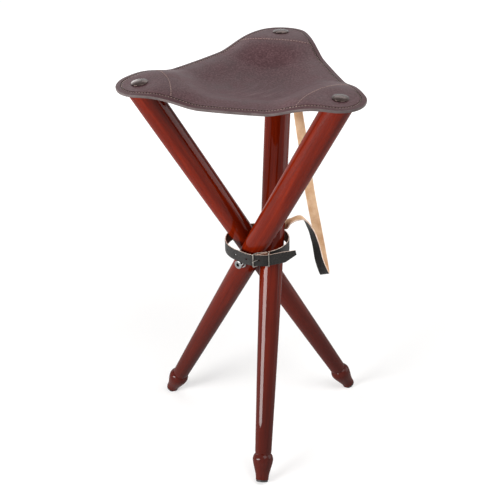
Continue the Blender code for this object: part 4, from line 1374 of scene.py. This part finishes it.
@dataclass
class SlungSeat(SubAssembly):
    """Leather seat in six parts, its stitching and its corner patches."""

    form: SeatForm
    columns: int = 60
    inner_rows: int = 45
    band_rows: int = 33
    rim_rows: int = 5
    under_rows: int = 29
    easing: float = 1.3 * MM
    border: float = 8.5 * MM
    groove_depth: float = 0.9 * MM
    groove_width: float = 1.1 * MM
    band: float = 15.0 * MM
    ramp: float = 0.104
    arc_depth: float = 0.040
    arc_bow: float = 0.008
    arc_half: float = 0.055
    arc_reach: float = 0.09
    arc_clear: float = 1.5 * MM
    patch_step: float = 0.5 * MM
    step_ease: float = 2.5 * MM
    step_inset: float = 4.0 * MM
    stitch_length: float = 3.0 * MM
    stitch_pitch: float = 4.2 * MM
    thread_dia: float = 0.8 * MM
    stitch_span: float = 0.96
    stitch_end: float = 0.02 * MM
    stitch_rings: int = 7
    stitch_sides: int = 8
    patch_margin: float = 0.0095
    patch_easing: float = 0.6 * MM
    patch_sides: int = 96
    patch_rows: int = 12
    patch_rim_rows: int = 5
    flat_size: tuple[float, float] = (0.205, 0.118)
    on_seam: float = 0.02 * MM
    most_lean: float = 0.7
    leg_order: str = "caabbc"  # the leg that each sixth follows
    sharp: float = 60.0
    stitch_sharp: float = 80.0

    def column_turns(self) -> np.ndarray:
        """Angles of the columns, evenly spaced along the edge in the first sixth of the seat.

        Returns:
            The angles.
        """
        fine = np.linspace(0.0, SIXTH, 2001)
        run = run_along(self.form.outline(fine)[0])
        return np.interp(np.linspace(0.0, run[-1], self.columns + 1), run, fine)

    def arc_axes(self, key: str) -> tuple[np.ndarray, np.ndarray]:
        """Unit vectors in plan, outward through a corner's stud and across the corner."""
        outward = self.form.studs[key] / self.form.reach
        return outward, np.array([-outward[1], outward[0]])

    def arc(self, across: np.ndarray) -> np.ndarray:
        """How far a corner's stitched arc lies past the stud, as a shallow parabola across the corner."""
        return -self.arc_depth + self.arc_bow * (across / self.arc_half) ** 2

    def arc_side(self, plans: np.ndarray) -> np.ndarray:
        """Distance outward past the nearest corner's stitched arc.

        Args:
            plans: Places in plan from the hub axis.

        Returns:
            The distances.
        """
        past = np.full(len(plans), -1.0)
        for key in self.hub.legs:
            outward, side = self.arc_axes(key)
            offset = plans - self.form.studs[key]
            past = np.maximum(past, offset @ outward - self.arc(offset @ side))
        return past

    def top_offset(self, plans: np.ndarray) -> np.ndarray:
        """Offset of the grain side: half the thickness, less the stitch groove and the step down off a patch.

        Args:
            plans: Places in plan from the hub axis.

        Returns:
            The offsets from the middle of the leather.
        """
        distance = self.form.edge_distance(plans)
        groove = self.groove_depth * np.exp(-(((distance - self.border) / self.groove_width) ** 2))
        step = self.patch_step * (1.0 - smoothstep(-self.step_ease, self.step_ease, self.arc_side(plans)))
        inside = smoothstep(self.border, self.border + self.step_inset, distance)
        return 0.5 * self.form.thickness - groove - step * inside

    def sector(self, index: int) -> tuple[Skin, np.ndarray]:
        """One sixth of the seat as a closed form, and the distance of its points from the edge.

        Rows run from the middle out over the grain side, round the eased edge and back underneath. Near the
        edge a row keeps its distance from it; further in, rows shrink towards the middle.

        Args:
            index: Number of the sixth, from the heading of stud C.

        Returns:
            The surface and the distances.
        """
        base = self.column_turns()
        turns = index * SIXTH + (base if index % 2 == 0 else SIXTH - base[::-1])
        own = np.clip(turns, index * SIXTH + NUDGE, (index + 1) * SIXTH - NUDGE)
        edge, facing = self.form.outline(own)
        half, ease = 0.5 * self.form.thickness, self.easing
        share = np.linspace(0.0, 1.0, self.inner_rows + 1)[1:, None, None]
        depth = np.linspace(self.band, ease, self.band_rows + 1)[1:, None, None]
        bend = np.linspace(0.0, QUARTER, self.rim_rows + 1)[1:]
        rim_depth = ease - ease * np.sin(bend)
        rim_rise = half - ease + ease * np.cos(bend)
        top = np.concatenate([share * (edge - self.band * facing), edge - depth * facing])
        rim = edge - np.concatenate([rim_depth, rim_depth[::-1]])[:, None, None] * facing
        coarse = np.linspace(0.0, 1.0, self.under_rows + 1)[1:, None, None]
        under = (coarse * (edge - ease * facing))[::-1]
        rise = [self.top_offset(top.reshape(-1, 2)).reshape(top.shape[:2]),
                np.tile(np.concatenate([rim_rise, -rim_rise[::-1]])[:, None], (1, len(turns))),
                np.full(under.shape[:2], -half)]
        plans = np.concatenate([top, rim, under])
        points = self.form.surface(plans, np.concatenate(rise))
        upper = self.top_offset(np.zeros((1, 2)))[0]
        poles = self.form.surface(np.zeros((2, 2)), np.array([upper, -half]))
        made = skin(points, loop=False, caps=(poles[0], poles[1]))
        rows, columns = plans.shape[:2]
        row = np.arange((rows - 1) * (columns - 1)) // (columns - 1)
        sides = np.where(row < len(top), SeatFace.GRAIN,
                         np.where(row < len(top) + len(rim) - 1, SeatFace.EDGE, SeatFace.FLESH))
        fans = np.repeat([SeatFace.GRAIN, SeatFace.FLESH], columns - 1)
        down = np.arange(rows) * columns
        made.faces += [(*(down + column).tolist(), rows * columns + 1, rows * columns)
                       for column in (0, columns - 1)]
        made.slots = np.concatenate([sides, fans, np.full(2, SeatFace.FLESH)])
        distance = np.concatenate([self.form.edge_distance(plans.reshape(-1, 2)), [FAR, FAR]])
        return made, distance

    def ramp_ends(self, index: int) -> tuple[str, np.ndarray, np.ndarray]:
        """Leg that a sixth follows, and the start and end of its bend, square to its seam.

        Args:
            index: Number of the sixth.

        Returns:
            Key of the leg, a point on the seam and a point where the leather follows the leg.
        """
        even = index % 2 == 0
        seam = math.degrees(self.form.first) + 60.0 * (index + 1 if even else index)
        start = np.array([*self.hub.origin[:2], self.form.top_height])
        return self.leg_order[index], start, start + self.ramp * spoke(seam - 90.0 if even else seam + 90.0)

    def stitch_lines(self) -> list[np.ndarray]:
        """Stitch lines in plan: the border at its distance from the edge, and an arc across each corner.

        Returns:
            The lines.
        """
        edge, facing = self.form.outline(np.linspace(0.0, 2.0 * math.pi, 4001))
        lines = [edge - self.border * facing]
        across = np.linspace(-self.arc_reach, self.arc_reach, 721)[:, None]
        for key in self.hub.legs:
            outward, side = self.arc_axes(key)
            arc = self.form.studs[key] + self.arc(across) * outward + across * side
            lines.append(arc[self.form.edge_distance(arc) > self.border + self.arc_clear])
        return lines

    def stitches(self) -> list[Skin]:
        """Stitches of each sixth: short bars whose radius falls off with the fourth power towards their ends.

        Returns:
            One surface for each sixth.
        """
        middles, ends = [], []
        for line in self.stitch_lines():
            even = resample(line, 0.5 * self.stitch_pitch)
            middles.append(even[1:-1:2])
            count = len(middles[-1])
            ends.append(even[2::2][:count] - even[0:-2:2][:count])
        middle, along = np.vstack(middles), unit(np.vstack(ends))
        centre = self.form.surface(middle, self.top_offset(middle) + 0.25 * self.thread_dia)
        normal = self.form.normal(middle)
        tangent = np.column_stack([along, np.zeros(len(along))])
        tangent = unit(tangent - normal * np.sum(tangent * normal, axis=1, keepdims=True))
        centre, tangent, side, normal = (
            rows[:, None, None, :] for rows in (centre, tangent, np.cross(normal, tangent), normal))
        x = np.linspace(-self.stitch_span, self.stitch_span, self.stitch_rings)[:, None, None]
        radius = 0.5 * self.thread_dia * (1.0 - x**4) ** 0.5 + self.stitch_end
        turns = full_turn(self.stitch_sides)[:, None]
        rings = centre + 0.5 * self.stitch_length * x * tangent
        rings = rings + radius * (np.cos(turns) * side + np.sin(turns) * normal)
        angle = np.mod(np.arctan2(middle[:, 1], middle[:, 0]) - self.form.first, 2.0 * math.pi)
        sixth = np.minimum((angle // SIXTH).astype(int), 5)
        poles = np.stack([rings[:, 0].mean(axis=1), rings[:, -1].mean(axis=1)], axis=1)
        bars = np.concatenate([rings.reshape(len(rings), -1, 3), poles], axis=1)
        pattern = skin(rings[0], caps=(poles[0, 0], poles[0, 1])).faces
        made = []
        for index in range(6):
            own = bars[sixth == index]
            faces = [tuple(corner + shift * bars.shape[1] for corner in face)
                     for shift in range(len(own)) for face in pattern]
            made.append(Skin(own.reshape(-1, 3), faces))
        return made

    def patch(self, key: str) -> Skin:
        """Round patch under a corner: discs of the leather's own surface, set down by its layers.

        Args:
            key: Key of the corner's leg.

        Returns:
            The closed surface, with an eased edge.
        """
        turns = full_turn(self.patch_sides)
        circle = np.column_stack([np.cos(turns), np.sin(turns)])
        reach, ease = self.form.corner_radius - self.patch_margin, self.patch_easing
        half = 0.5 * self.form.patch_thick
        bend = np.linspace(0.0, QUARTER, self.patch_rim_rows)
        share = np.linspace(0.0, 1.0, self.patch_rows + 2)[1:-1] * (reach - ease)
        rim = reach - ease + ease * np.sin(bend)
        rise = half - ease + ease * np.cos(bend)
        radius = np.concatenate([share, rim, rim[::-1], share[::-1]])
        level = np.full(len(share), half)
        below = 0.5 * self.form.thickness + self.form.patch_gap + half
        offset = np.concatenate([level, rise, -rise[::-1], -level]) - below
        middle = self.form.corners[key]
        rings = self.form.surface(middle + radius[:, None, None] * circle, offset[:, None])
        poles = self.form.surface(np.tile(middle, (2, 1)), np.array([half - below, -half - below]))
        return skin(rings, caps=(poles[0], poles[1]))

    def build(self) -> None:
        """Six parts of the seat, their stitches and three patches."""
        dress = self.finishes
        stitches = self.stitches()
        for index in range(6):
            surface, distance = self.sector(index)
            leather = [dress.seat, dress.seat_edge, dress.seat_flesh]
            part = put(f"seat_leather_{index + 1}", surface, leather, self.sharp)
            note(part, "trim", np.column_stack([distance, np.zeros((len(distance), 2))]))
            self.share_normals(part)
            sewing = put(f"seat_stitches_{index + 1}", stitches[index], [dress.thread], self.stitch_sharp)
            key, start, end = self.ramp_ends(index)
            for piece in (part, sewing):
                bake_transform(piece)
                self.keep(piece, "seat_leather", None)
            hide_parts("seat_panel")
        for key in self.hub.legs:
            patch = put("patch_leather_" + key, self.patch(key), [dress.seat_flesh])
            self.keep(patch, "patch_leather", "leg_" + key, "corner_patch_" + key)

    def flat_area(self) -> float:
        """Area of the cut leather: the corners' triangle, a band along its sides and one full circle.

        Returns:
            The area in square metres.
        """
        side = math.sqrt(3.0) * self.form.corner_reach
        radius = self.form.corner_radius
        return 0.25 * math.sqrt(3.0) * side**2 + 3.0 * side * radius + math.pi * radius**2

    def share_normals(self, part: bpy.types.Object) -> None:
        """Give the points on a part's two cut lines the normals of the whole seat, so that no seam shows.

        Args:
            part: One sixth of the seat.
        """
        mesh = part.data
        count = len(mesh.loops)
        corner = np.empty(count, np.int32)
        mesh.loops.foreach_get("vertex_index", corner)
        normals = np.empty(count * 3, np.float32)
        mesh.corner_normals.foreach_get("vector", normals)
        normals = normals.reshape(-1, 3)
        plans = vertex_places(part)[corner][:, :2] - self.hub.origin[:2]
        turn = np.arctan2(plans[:, 1], plans[:, 0]) - self.form.first
        line = np.round(turn / SIXTH) * SIXTH + self.form.first
        sideways = np.column_stack([-np.sin(line), np.cos(line), np.zeros(count)])
        away = np.abs(np.sum(plans * sideways[:, :2], axis=1))
        leaning = np.sum(normals * sideways, axis=1, keepdims=True)
        on_line = (away < self.on_seam) & (np.abs(leaning[:, 0]) < self.most_lean)
        shared = unit(normals - sideways * leaning + 1e-9)
        mesh.normals_split_custom_set(np.where(on_line[:, None], shared, normals).tolist())


@dataclass
class WaistBelt(SubAssembly):
    """Belt round the crossing, with its folded end, buckle, prong, keeper and rivet.

    Angles are in degrees: bar_angle from +X, those of the holes back from the bar, the others onward from it.
    """

    width: float = 0.0185
    thickness: float = 0.0018
    easing: float = 0.75 * MM
    low: float = 0.0068
    inner: float = 0.047449
    bar_angle: float = 278.5
    chape_angle: float = 20.5
    rivet_angle: float = 11.0
    keeper_angle: float = 16.5
    rise_angle: float = 40.0
    over_flat: float = 4.0
    chape_end: float = 2.0
    rivet_clear: float = 2.0
    loop_start: float = 4.0
    tail_start: float = 3.0
    tail_length: float = 0.0415
    tip_length: float = 0.019
    tip_share: float = 0.45
    tip_lift: float = 0.8
    tail_drop: float = 0.0025
    tail_room: float = 0.6 * MM
    path_step: float = 1.1 * MM
    slot_bend: float = 1.0 * MM
    hole_dia: float = 0.003
    hole_pitch: float = 24.0
    hole_first: float = 19.5
    hole_count: int = 3
    hole_reach: float = 0.01
    wire_dia: float = 0.002
    wire_bend: float = 2.0 * MM
    wire_step: float = 0.6 * MM
    buckle_reach: float = 0.0070
    buckle_play: float = 1.0 * MM
    prong_dia: float = 0.0016
    prong_past: float = 1.5 * MM
    prong_wrap: float = 290.0
    keeper_dia: float = 0.0016
    keeper_bend: float = 1.5 * MM
    rivet_dia: float = 0.005
    rivet_shank: float = 1.4 * MM
    rivet_rim: float = 0.5 * MM
    rivet_crown: float = 0.6 * MM
    rivet_easing: float = 0.2 * MM
    fit_gap: float = 0.0003
    layer_gap: float = 0.0004
    sharp: float = 50.0

    def __post_init__(self) -> None:
        """Work out the radii of the belt's layers, and the directions at the bar."""
        self.middle = self.low + 0.5 * self.width
        self.centre = self.hub.origin + self.middle * UP
        self.loop = self.inner + 0.5 * self.thickness
        self.fold = 0.5 * self.wire_dia + self.fit_gap + 0.5 * self.thickness
        self.bar = self.loop + self.fold
        self.chape = self.loop + self.thickness + self.layer_gap
        self.over = self.bar + self.fold + self.thickness + self.layer_gap
        self.tail = self.chape + self.thickness + 2.0 * self.fit_gap + self.tail_room
        self.outward, self.onward = spoke(self.bar_angle), spoke(self.bar_angle + 90.0)

    def ring(self, radius: np.ndarray | float, angle: np.ndarray | float) -> np.ndarray:
        """Points at the belt's middle height at radii round the hub and angles onward from the bar.

        Args:
            radius: Radii.
            angle: Angles in degrees.

        Returns:
            The points.
        """
        turns = np.radians(self.bar_angle + np.asarray(angle, float))
        reach = np.broadcast_to(radius, turns.shape)
        return self.centre + np.stack(
            [reach * np.cos(turns), reach * np.sin(turns), np.zeros(turns.shape)], axis=-1)

    def over_radius(self, angle: np.ndarray) -> np.ndarray:
        """Radius of the outer run past the bar: an S up over the bar, then an S down to the tail.

        Args:
            angle: Angles in degrees.

        Returns:
            The radii.
        """
        climb = smoothstep(-self.rise_angle, -self.over_flat, angle)
        settle = smoothstep(self.over_flat, self.keeper_angle, angle)
        return self.loop + (self.over - self.loop) * climb + (self.tail - self.over) * settle

    def sink(self, angle: np.ndarray | float) -> np.ndarray:
        """Step down to the tail past the bar: an S of the tail's drop that ends before the keeper."""
        return -self.tail_drop * smoothstep(0.0, self.keeper_angle - 1.0, np.asarray(angle))[..., None] * UP

    def path(self) -> np.ndarray:
        """Centre line: the folded end, half round the bar, once round the legs and out along a straight tail.

        Returns:
            The points.
        """
        chape = np.linspace(self.chape_angle, self.chape_end, 24)
        spread = 1.0 - smoothstep(self.chape_end, self.rivet_angle - self.rivet_clear, chape)
        start = self.ring(self.chape + (self.bar + self.fold - self.chape) * spread, chape)
        bend = np.linspace(0.0, math.pi, 24)[:, None]
        fold = self.ring(self.bar, 0.0) + self.fold * (np.cos(bend) * self.outward - np.sin(bend) * self.onward)
        once = self.ring(self.loop, np.arange(self.loop_start, 360.0 - self.rise_angle, 2.0))
        last = self.keeper_angle + self.tail_start
        outer = np.arange(-self.rise_angle, last, 1.0)
        outer = self.ring(self.over_radius(outer), outer) + self.sink(outer)
        leave = spoke(self.bar_angle + last + 90.0)
        tail = self.ring(self.tail, last) + self.sink(last)
        tail = tail + leave * self.tail_length * np.linspace(0.0, 1.0, 40)[:, None]
        return np.vstack([start, fold, once, outer, tail])

    def strip(self) -> Strip:
        """Belt along its path, narrowed to a blunt point at the tail.

        Returns:
            The strip.
        """
        path = resample(self.path(), self.path_step)
        run = run_along(path)
        point = np.clip(1.0 - (run[-1] - run) / self.tip_length, 0.0, 1.0)
        widths = self.width * (1.0 - (1.0 - self.tip_share) * point)
        path[:, 2] += 0.5 * self.tip_lift * (self.width - widths)
        return Strip(path, np.tile(UP, (len(path), 1)), widths, self.thickness, self.easing)

    def cutters(self) -> list[Skin]:
        """Forms to cut from the belt: its holes, and the slot and disc that the prong turns in.

        Returns:
            The forms.
        """
        hole = rod(0.5 * self.hole_dia, self.loop - self.hole_reach, self.loop + self.hole_reach)
        angles = self.bar_angle - self.hole_first - self.hole_pitch * np.arange(self.hole_count)
        holes = [turned(hole, self.centre, spoke(angle), 32) for angle in angles]
        eye = 0.5 * self.wire_dia + self.fit_gap + self.prong_dia + self.layer_gap
        gap = 0.5 * self.prong_dia + self.layer_gap
        length = self.buckle_reach - self.wire_dia + eye
        outline = rounded_rectangle(length, 2.0 * gap, self.slot_bend)
        ends = [self.centre + (eye - 0.5 * length) * self.onward + reach * self.outward
                for reach in (self.bar, self.over + 2.0 * self.thickness)]
        rings = np.stack([end + outline[:, :1] * self.onward + outline[:, 1:] * UP for end in ends])
        disc = turned(rod(eye, -gap, gap), self.ring(self.bar, 0.0), UP, 32)
        return [*holes, skin(rings, caps=(ends[0], ends[1])), disc]

    def build(self) -> None:
        """Belt, buckle, prong, keeper and rivet."""
        dress = self.finishes
        leather = [dress.black, dress.belt_flesh, dress.cut]
        belt = put("belt_leather", self.strip().surface(), leather, self.sharp)
        cut(belt, self.cutters(), StripFace.GRAIN)
        self.keep(belt, "belt_leather", "waist", "waist_belt")
        buckle, prong = self.buckle()
        for name, surface, body, node in (
                ("buckle_wire", buckle, "waist", "buckle_frame"),
                ("prong_wire", prong, "prong", "buckle_prong"),
                ("keeper_wire", self.keeper(), "waist", "belt_keeper"),
                ("rivet_head", self.rivet(), "waist", "belt_rivet")):
            self.keep(put(name, surface, [dress.steel]), "wire_steel", body, node)

    def bent(self, loop: np.ndarray, dia: float, across: np.ndarray) -> Skin:
        """Wire bent round a closed loop, whose plane is square to a direction."""
        return tube(resample(np.vstack([loop, loop[:1]]), self.wire_step)[:-1], 0.5 * dia, across, True)

    def buckle(self) -> tuple[Skin, Skin]:
        """Frame bent round a rounded rectangle, and the prong curled round its bar.

        Returns:
            The frame and the prong.
        """
        bar = self.ring(self.bar, 0.0)
        turn = -math.degrees(self.buckle_reach / self.bar)
        stand_off = 0.5 * self.thickness + self.fit_gap + 0.5 * self.wire_dia
        cross = self.ring(self.over_radius(np.array(turn)) + stand_off, turn)
        reach = float(np.linalg.norm(cross - bar))
        along = (cross - bar) / reach
        outline = rounded_rectangle(reach, self.width + self.buckle_play + self.wire_dia, self.wire_bend)
        loop = 0.5 * (bar + cross) + outline[:, :1] * along + outline[:, 1:] * UP
        flat = np.cross(along, UP)

        eye = 0.5 * self.wire_dia + self.fit_gap + 0.5 * self.prong_dia
        over = flat if flat @ self.outward > 0.0 else -flat
        wrap = math.radians(self.prong_wrap) * np.linspace(1.0, 0.0, 40)[:, None]
        curl = bar + eye * (np.cos(wrap) * over - np.sin(wrap) * along)
        tip = bar + eye * over + (reach + 0.5 * self.wire_dia + self.prong_past) * along
        straight = curl[-1] + (tip - curl[-1]) * np.linspace(0.0, 1.0, 12)[1:, None]
        prong = tube(np.vstack([curl, straight]), 0.5 * self.prong_dia, UP, False)
        return self.bent(loop, self.wire_dia, flat), prong

    def keeper(self) -> Skin:
        """Wire loop round all the layers of the belt, a rounded rectangle on a spoke of the hub.

        Returns:
            The closed surface.
        """
        margin = self.fit_gap + 0.5 * self.keeper_dia
        low, high = self.inner - margin, self.tail + 0.5 * self.thickness + margin
        outline = rounded_rectangle(high - low, self.width + self.tail_drop + 2.0 * margin, self.keeper_bend)
        along = spoke(self.bar_angle + self.keeper_angle)
        middle = self.ring(0.5 * (low + high), self.keeper_angle) + 0.5 * self.sink(self.keeper_angle)
        loop = middle + outline[:, :1] * along + outline[:, 1:] * UP
        return self.bent(loop, self.keeper_dia, np.cross(along, UP))

    def rivet(self) -> Skin:
        """Two flat heads on a shank through the folded end, turned about a spoke of the hub.

        Returns:
            The closed surface.
        """
        low, high = self.inner - self.fit_gap, self.chape + 0.5 * self.thickness + self.fit_gap
        head, shank = 0.5 * self.rivet_dia, self.rivet_shank
        outline = [(0.0, high + self.rivet_crown), (head, high + self.rivet_rim), (head, high), (shank, high),
                   (shank, low), (head, low), (head, low - self.rivet_rim), (0.0, low - self.rivet_crown)]
        return turned(fillet(outline, self.rivet_easing), self.centre,
                      spoke(self.bar_angle + self.rivet_angle), 32)


@dataclass
class CarryStrap(SubAssembly):
    """Carrying strap that hangs from two screws on leg C.

    Each row of the route is a place from the hub, and the direction across the strap there.
    """

    leg: TurnedLeg
    width: float = 0.015
    thickness: float = 0.0025
    end: float = 0.008
    end_round: float = 0.004
    end_share: float = 0.55
    top_drop: float = 0.031
    upper_turn: float = math.radians(35.0)
    lower_along: float = 0.0478
    lower_turn: float = math.radians(50.0)
    lower_tilt: float = math.radians(24.0)
    head_dia: float = 0.009
    head_rim: float = 0.0006
    head_crown: float = 0.0022
    shank_dia: float = 0.0035
    shank_bite: float = 0.014
    fit_gap: float = 0.0003
    spacing: float = 1.5 * MM
    sharp: float = 50.0
    route: tuple[tuple[tuple[float, ...], tuple[float, ...]], ...] = (
        ((0.0505, 0.1430, 0.1700), (-0.90, 0.20, -0.25)),
        ((0.0598, 0.1330, 0.1135), (-0.97, -0.05, -0.20)),
        ((0.0703, 0.1200, 0.0470), (-0.97, -0.10, -0.20)),
        ((0.0826, 0.1060, -0.0095), (-0.97, -0.10, -0.20)),
        ((0.0918, 0.0950, -0.0530), (-0.97, -0.10, -0.20)),
        ((0.0978, 0.0770, -0.0745), (-0.97, 0.00, -0.20)),
        ((0.0908, 0.0585, -0.0430), (-0.90, 0.38, -0.20)),
        ((0.0838, 0.0525, -0.0035), (-0.74, 0.64, -0.22)),
        ((0.0768, 0.0470, 0.0215), (-0.58, 0.78, -0.25)),
        ((0.0642, 0.0385, 0.0426), (-0.33, 0.94, -0.08)),
        ((0.0478, 0.0297, 0.0402), (-0.12, 0.96, 0.10)),
    )

    def anchor(self, along: float, turn: float) -> tuple[np.ndarray, np.ndarray, np.ndarray]:
        """Point on the leg's surface, the direction out of the wood and the direction round it.

        Args:
            along: Distance up the leg from its pivot.
            turn: Angle round the leg from its pivot axis.

        Returns:
            The point and the two directions.
        """
        place = self.leg.place
        outward = math.cos(turn) * place.across + math.sin(turn) * place.side
        point = place.pivot + along * place.up + float(self.leg.radius(np.array(along))) * outward
        return point, outward, np.cross(outward, place.up)

    def build(self) -> None:
        """Strap along its route, and its two screws."""
        dress, up = self.finishes, self.leg.place.up
        rest = self.fit_gap + 0.5 * self.thickness
        shifts = (self.end, 0.0, -self.end)
        top, top_out, top_round = self.anchor(self.leg.upper - self.top_drop, self.upper_turn)
        foot, foot_out, foot_round = self.anchor(self.lower_along, self.lower_turn)
        slope = math.cos(self.lower_tilt) * foot_round - math.sin(self.lower_tilt) * up
        side = math.cos(self.lower_tilt) * up + math.sin(self.lower_tilt) * foot_round
        knots = [(top + shift * up + rest * top_out, -top_round) for shift in shifts]
        knots += [(self.hub.origin + np.array(point), unit(np.array(across))) for point, across in self.route]
        knots += [(foot + shift * slope + rest * foot_out, side) for shift in shifts]
        places, sides = (np.array(values) for values in zip(*knots))
        path, across = (smooth_curve(places, values, self.spacing) for values in (places, sides))
        run = run_along(path)
        inset = 1.0 - np.clip(np.minimum(run, run[-1] - run) / self.end_round, 0.0, 1.0)
        round_end = np.sqrt(np.clip(1.0 - inset**2, 0.0, 1.0))
        widths = self.width * (self.end_share + (1.0 - self.end_share) * round_end)
        strip = Strip(path, across, widths, self.thickness)
        strap = put("strap_leather", strip.surface(), [dress.black, dress.tan, dress.cut], self.sharp)
        self.keep(strap, "strap_leather", "leg_c", "carry_strap")
        for name, point, outward in (("upper", top, top_out), ("lower", foot, foot_out)):
            head = put("screw_head_" + name, self.screw(point, outward), [dress.steel])
            self.keep(head, "wire_steel", "leg_c", "strap_screw_" + name)
        LOG.info("strap length %.3f m", run[-1])

    def screw(self, point: np.ndarray, outward: np.ndarray) -> Skin:
        """Domed screw head on the strap, with its shank in the wood.

        Args:
            point: Point on the wood.
            outward: Direction out of the wood.

        Returns:
            The closed surface.
        """
        radius, shank = 0.5 * self.head_dia, 0.5 * self.shank_dia
        share = np.sin(QUARTER * np.linspace(0.0, 1.0, 12))
        dome = np.column_stack([radius * share, self.head_rim + self.head_crown * (1.0 - share**2)])
        seat = 2.0 * self.fit_gap + self.thickness
        end = -seat - self.shank_bite
        profile = np.vstack([dome, [(radius, 0.0), (shank, 0.0), (shank, end), (0.0, end)]])
        return turned(profile, point + seat * outward, outward, 40)


# Studio


@dataclass(frozen=True)
class SoftBox:
    """Rectangular lamp: where it hangs, the point it faces, its width and height, power and roll in degrees."""

    name: str
    place: tuple[float, float, float]
    aim: tuple[float, float, float]
    size: tuple[float, float]
    watts: float
    roll: float = 0.0


@dataclass
class Studio:
    """Camera, lamps, world and floor.

    The camera stands at a place from the hub axis at floor level. Its angles are in degrees: the turn from +Y
    towards -X, the tilt below level, and the roll about its own axis. The left box lies along the cone of
    directions that leg C mirrors, so that its streak runs the length of the leg.
    """

    finishes: Finishes
    hub: Hub
    lens_px: float = 1350.0
    frame_px: float = 500.0
    sensor_mm: float = 36.0
    place: tuple[float, float, float] = (0.237539, -1.802054, 1.285441)
    turn: float = 7.86416
    tilt: float = 28.22395
    roll: float = -1.42552
    boxes: tuple[SoftBox, ...] = (
        SoftBox("left_box", (-1.48, -1.30, 0.70), (0.0, -0.1, 0.20), (1.40, 0.54), 62.0, 22.0),
        SoftBox("right_box", (1.75, 0.55, 0.75), (0.0, 0.0, 0.35), (1.5, 1.3), 15.0),
        SoftBox("back_box", (0.15, 1.85, 1.95), (0.0, 0.0, 0.55), (1.3, 0.8), 6.0),
        SoftBox("rear_box", (-1.30, 1.50, 1.00), (0.0, 0.0, 0.35), (1.4, 1.2), 12.0),
        SoftBox("top_box", (1.05, -0.85, 2.15), (0.0, 0.0, 0.5), (1.6, 1.5), 33.0),
    )
    room: str = "FBFCFD"
    room_light: float = 0.15
    room_seen: float = 1.0
    floor_half: float = 15.0
    floor_drop: float = 0.2 * MM
    floor_lines: int = 31

    @staticmethod
    def stand(thing: bpy.types.Object, place: np.ndarray, back: np.ndarray, roll: float) -> None:
        """Stand a camera or lamp at a place.

        Args:
            thing: The camera or lamp.
            place: The place.
            back: Unit vector away from what it looks at.
            roll: Turn about that vector, in degrees.
        """
        right = unit(np.cross(UP, back))
        matrix = np.eye(4)
        matrix[:3, :3] = np.column_stack([right, np.cross(back, right), back])
        matrix[:3, 3] = place
        thing.matrix_world = Matrix(matrix.tolist()) @ Matrix.Rotation(math.radians(roll), 4, "Z")
        bpy.context.scene.collection.objects.link(thing)

    def camera(self) -> None:
        """Camera at the photograph's place."""
        data = bpy.data.cameras.new("camera")
        data.sensor_width = self.sensor_mm
        data.lens = self.sensor_mm * self.lens_px / self.frame_px
        camera = bpy.data.objects.new("camera", data)
        tilt = math.radians(self.tilt)
        back = math.cos(tilt) * spoke(self.turn - 90.0) + math.sin(tilt) * UP
        place = np.array(self.place) + np.array([*self.hub.origin[:2], 0.0])
        self.stand(camera, place, back, self.roll)
        bpy.context.scene.camera = camera

    def light(self) -> None:
        """Soft boxes to the left, right, back and overhead, in a plain room that is white where it is seen."""
        for box in self.boxes:
            data = bpy.data.lights.new(box.name, "AREA")
            data.shape = "RECTANGLE"
            data.size, data.size_y = box.size
            data.energy = box.watts
            lamp = bpy.data.objects.new(box.name, data)
            lamp.visible_camera = False
            self.stand(lamp, np.array(box.place), unit(np.subtract(box.place, box.aim)), box.roll)
        world = bpy.data.worlds.new("room")
        world.use_nodes = True
        tree = world.node_tree
        level = add(tree, "MapRange", {"Value": seen(tree), "To Min": self.room_light,
                                       "To Max": self.room_seen})
        plug(tree.nodes["Background"], {"Color": linear(self.room), "Strength": level})
        bpy.context.scene.world = world
        bpy.context.scene.view_settings.view_transform = "Standard"

    def floor(self) -> None:
        """Flat floor, a grid in plan just under height 0."""
        line = np.linspace(-self.floor_half, self.floor_half, self.floor_lines)
        x, y = np.meshgrid(line, line, indexing="ij")
        grid = np.stack([x, y, np.full(x.shape, -self.floor_drop)], axis=-1)
        put("floor", skin(grid, loop=False), [self.finishes.floor])


def main() -> None:
    """Build the studio and every sub-assembly, and report their pieces."""
    logging.basicConfig(level=logging.INFO, format="%(name)s: %(message)s")
    finishes = Finishes()
    hub = Hub.from_joints(frame["joints"])
    form = SeatForm(hub)
    studio = Studio(finishes, hub)
    studio.camera()
    legs = {key: TurnedLeg(finishes, hub, form, place) for key, place in hub.legs.items()}
    groups: list[SubAssembly] = [CarryStrap(finishes, hub, legs["c"]), *legs.values(),
                                 PivotHardware(finishes, hub), WaistBelt(finishes, hub),
                                 SlungSeat(finishes, hub, form)]
    for group in groups:
        group.build()
        for piece in group.pieces:
            LOG.info("%s: %s, %d faces", type(group).__name__, piece.name, len(piece.data.polygons))
    studio.floor()
    studio.light()


if __name__ == "__main__":
    main()
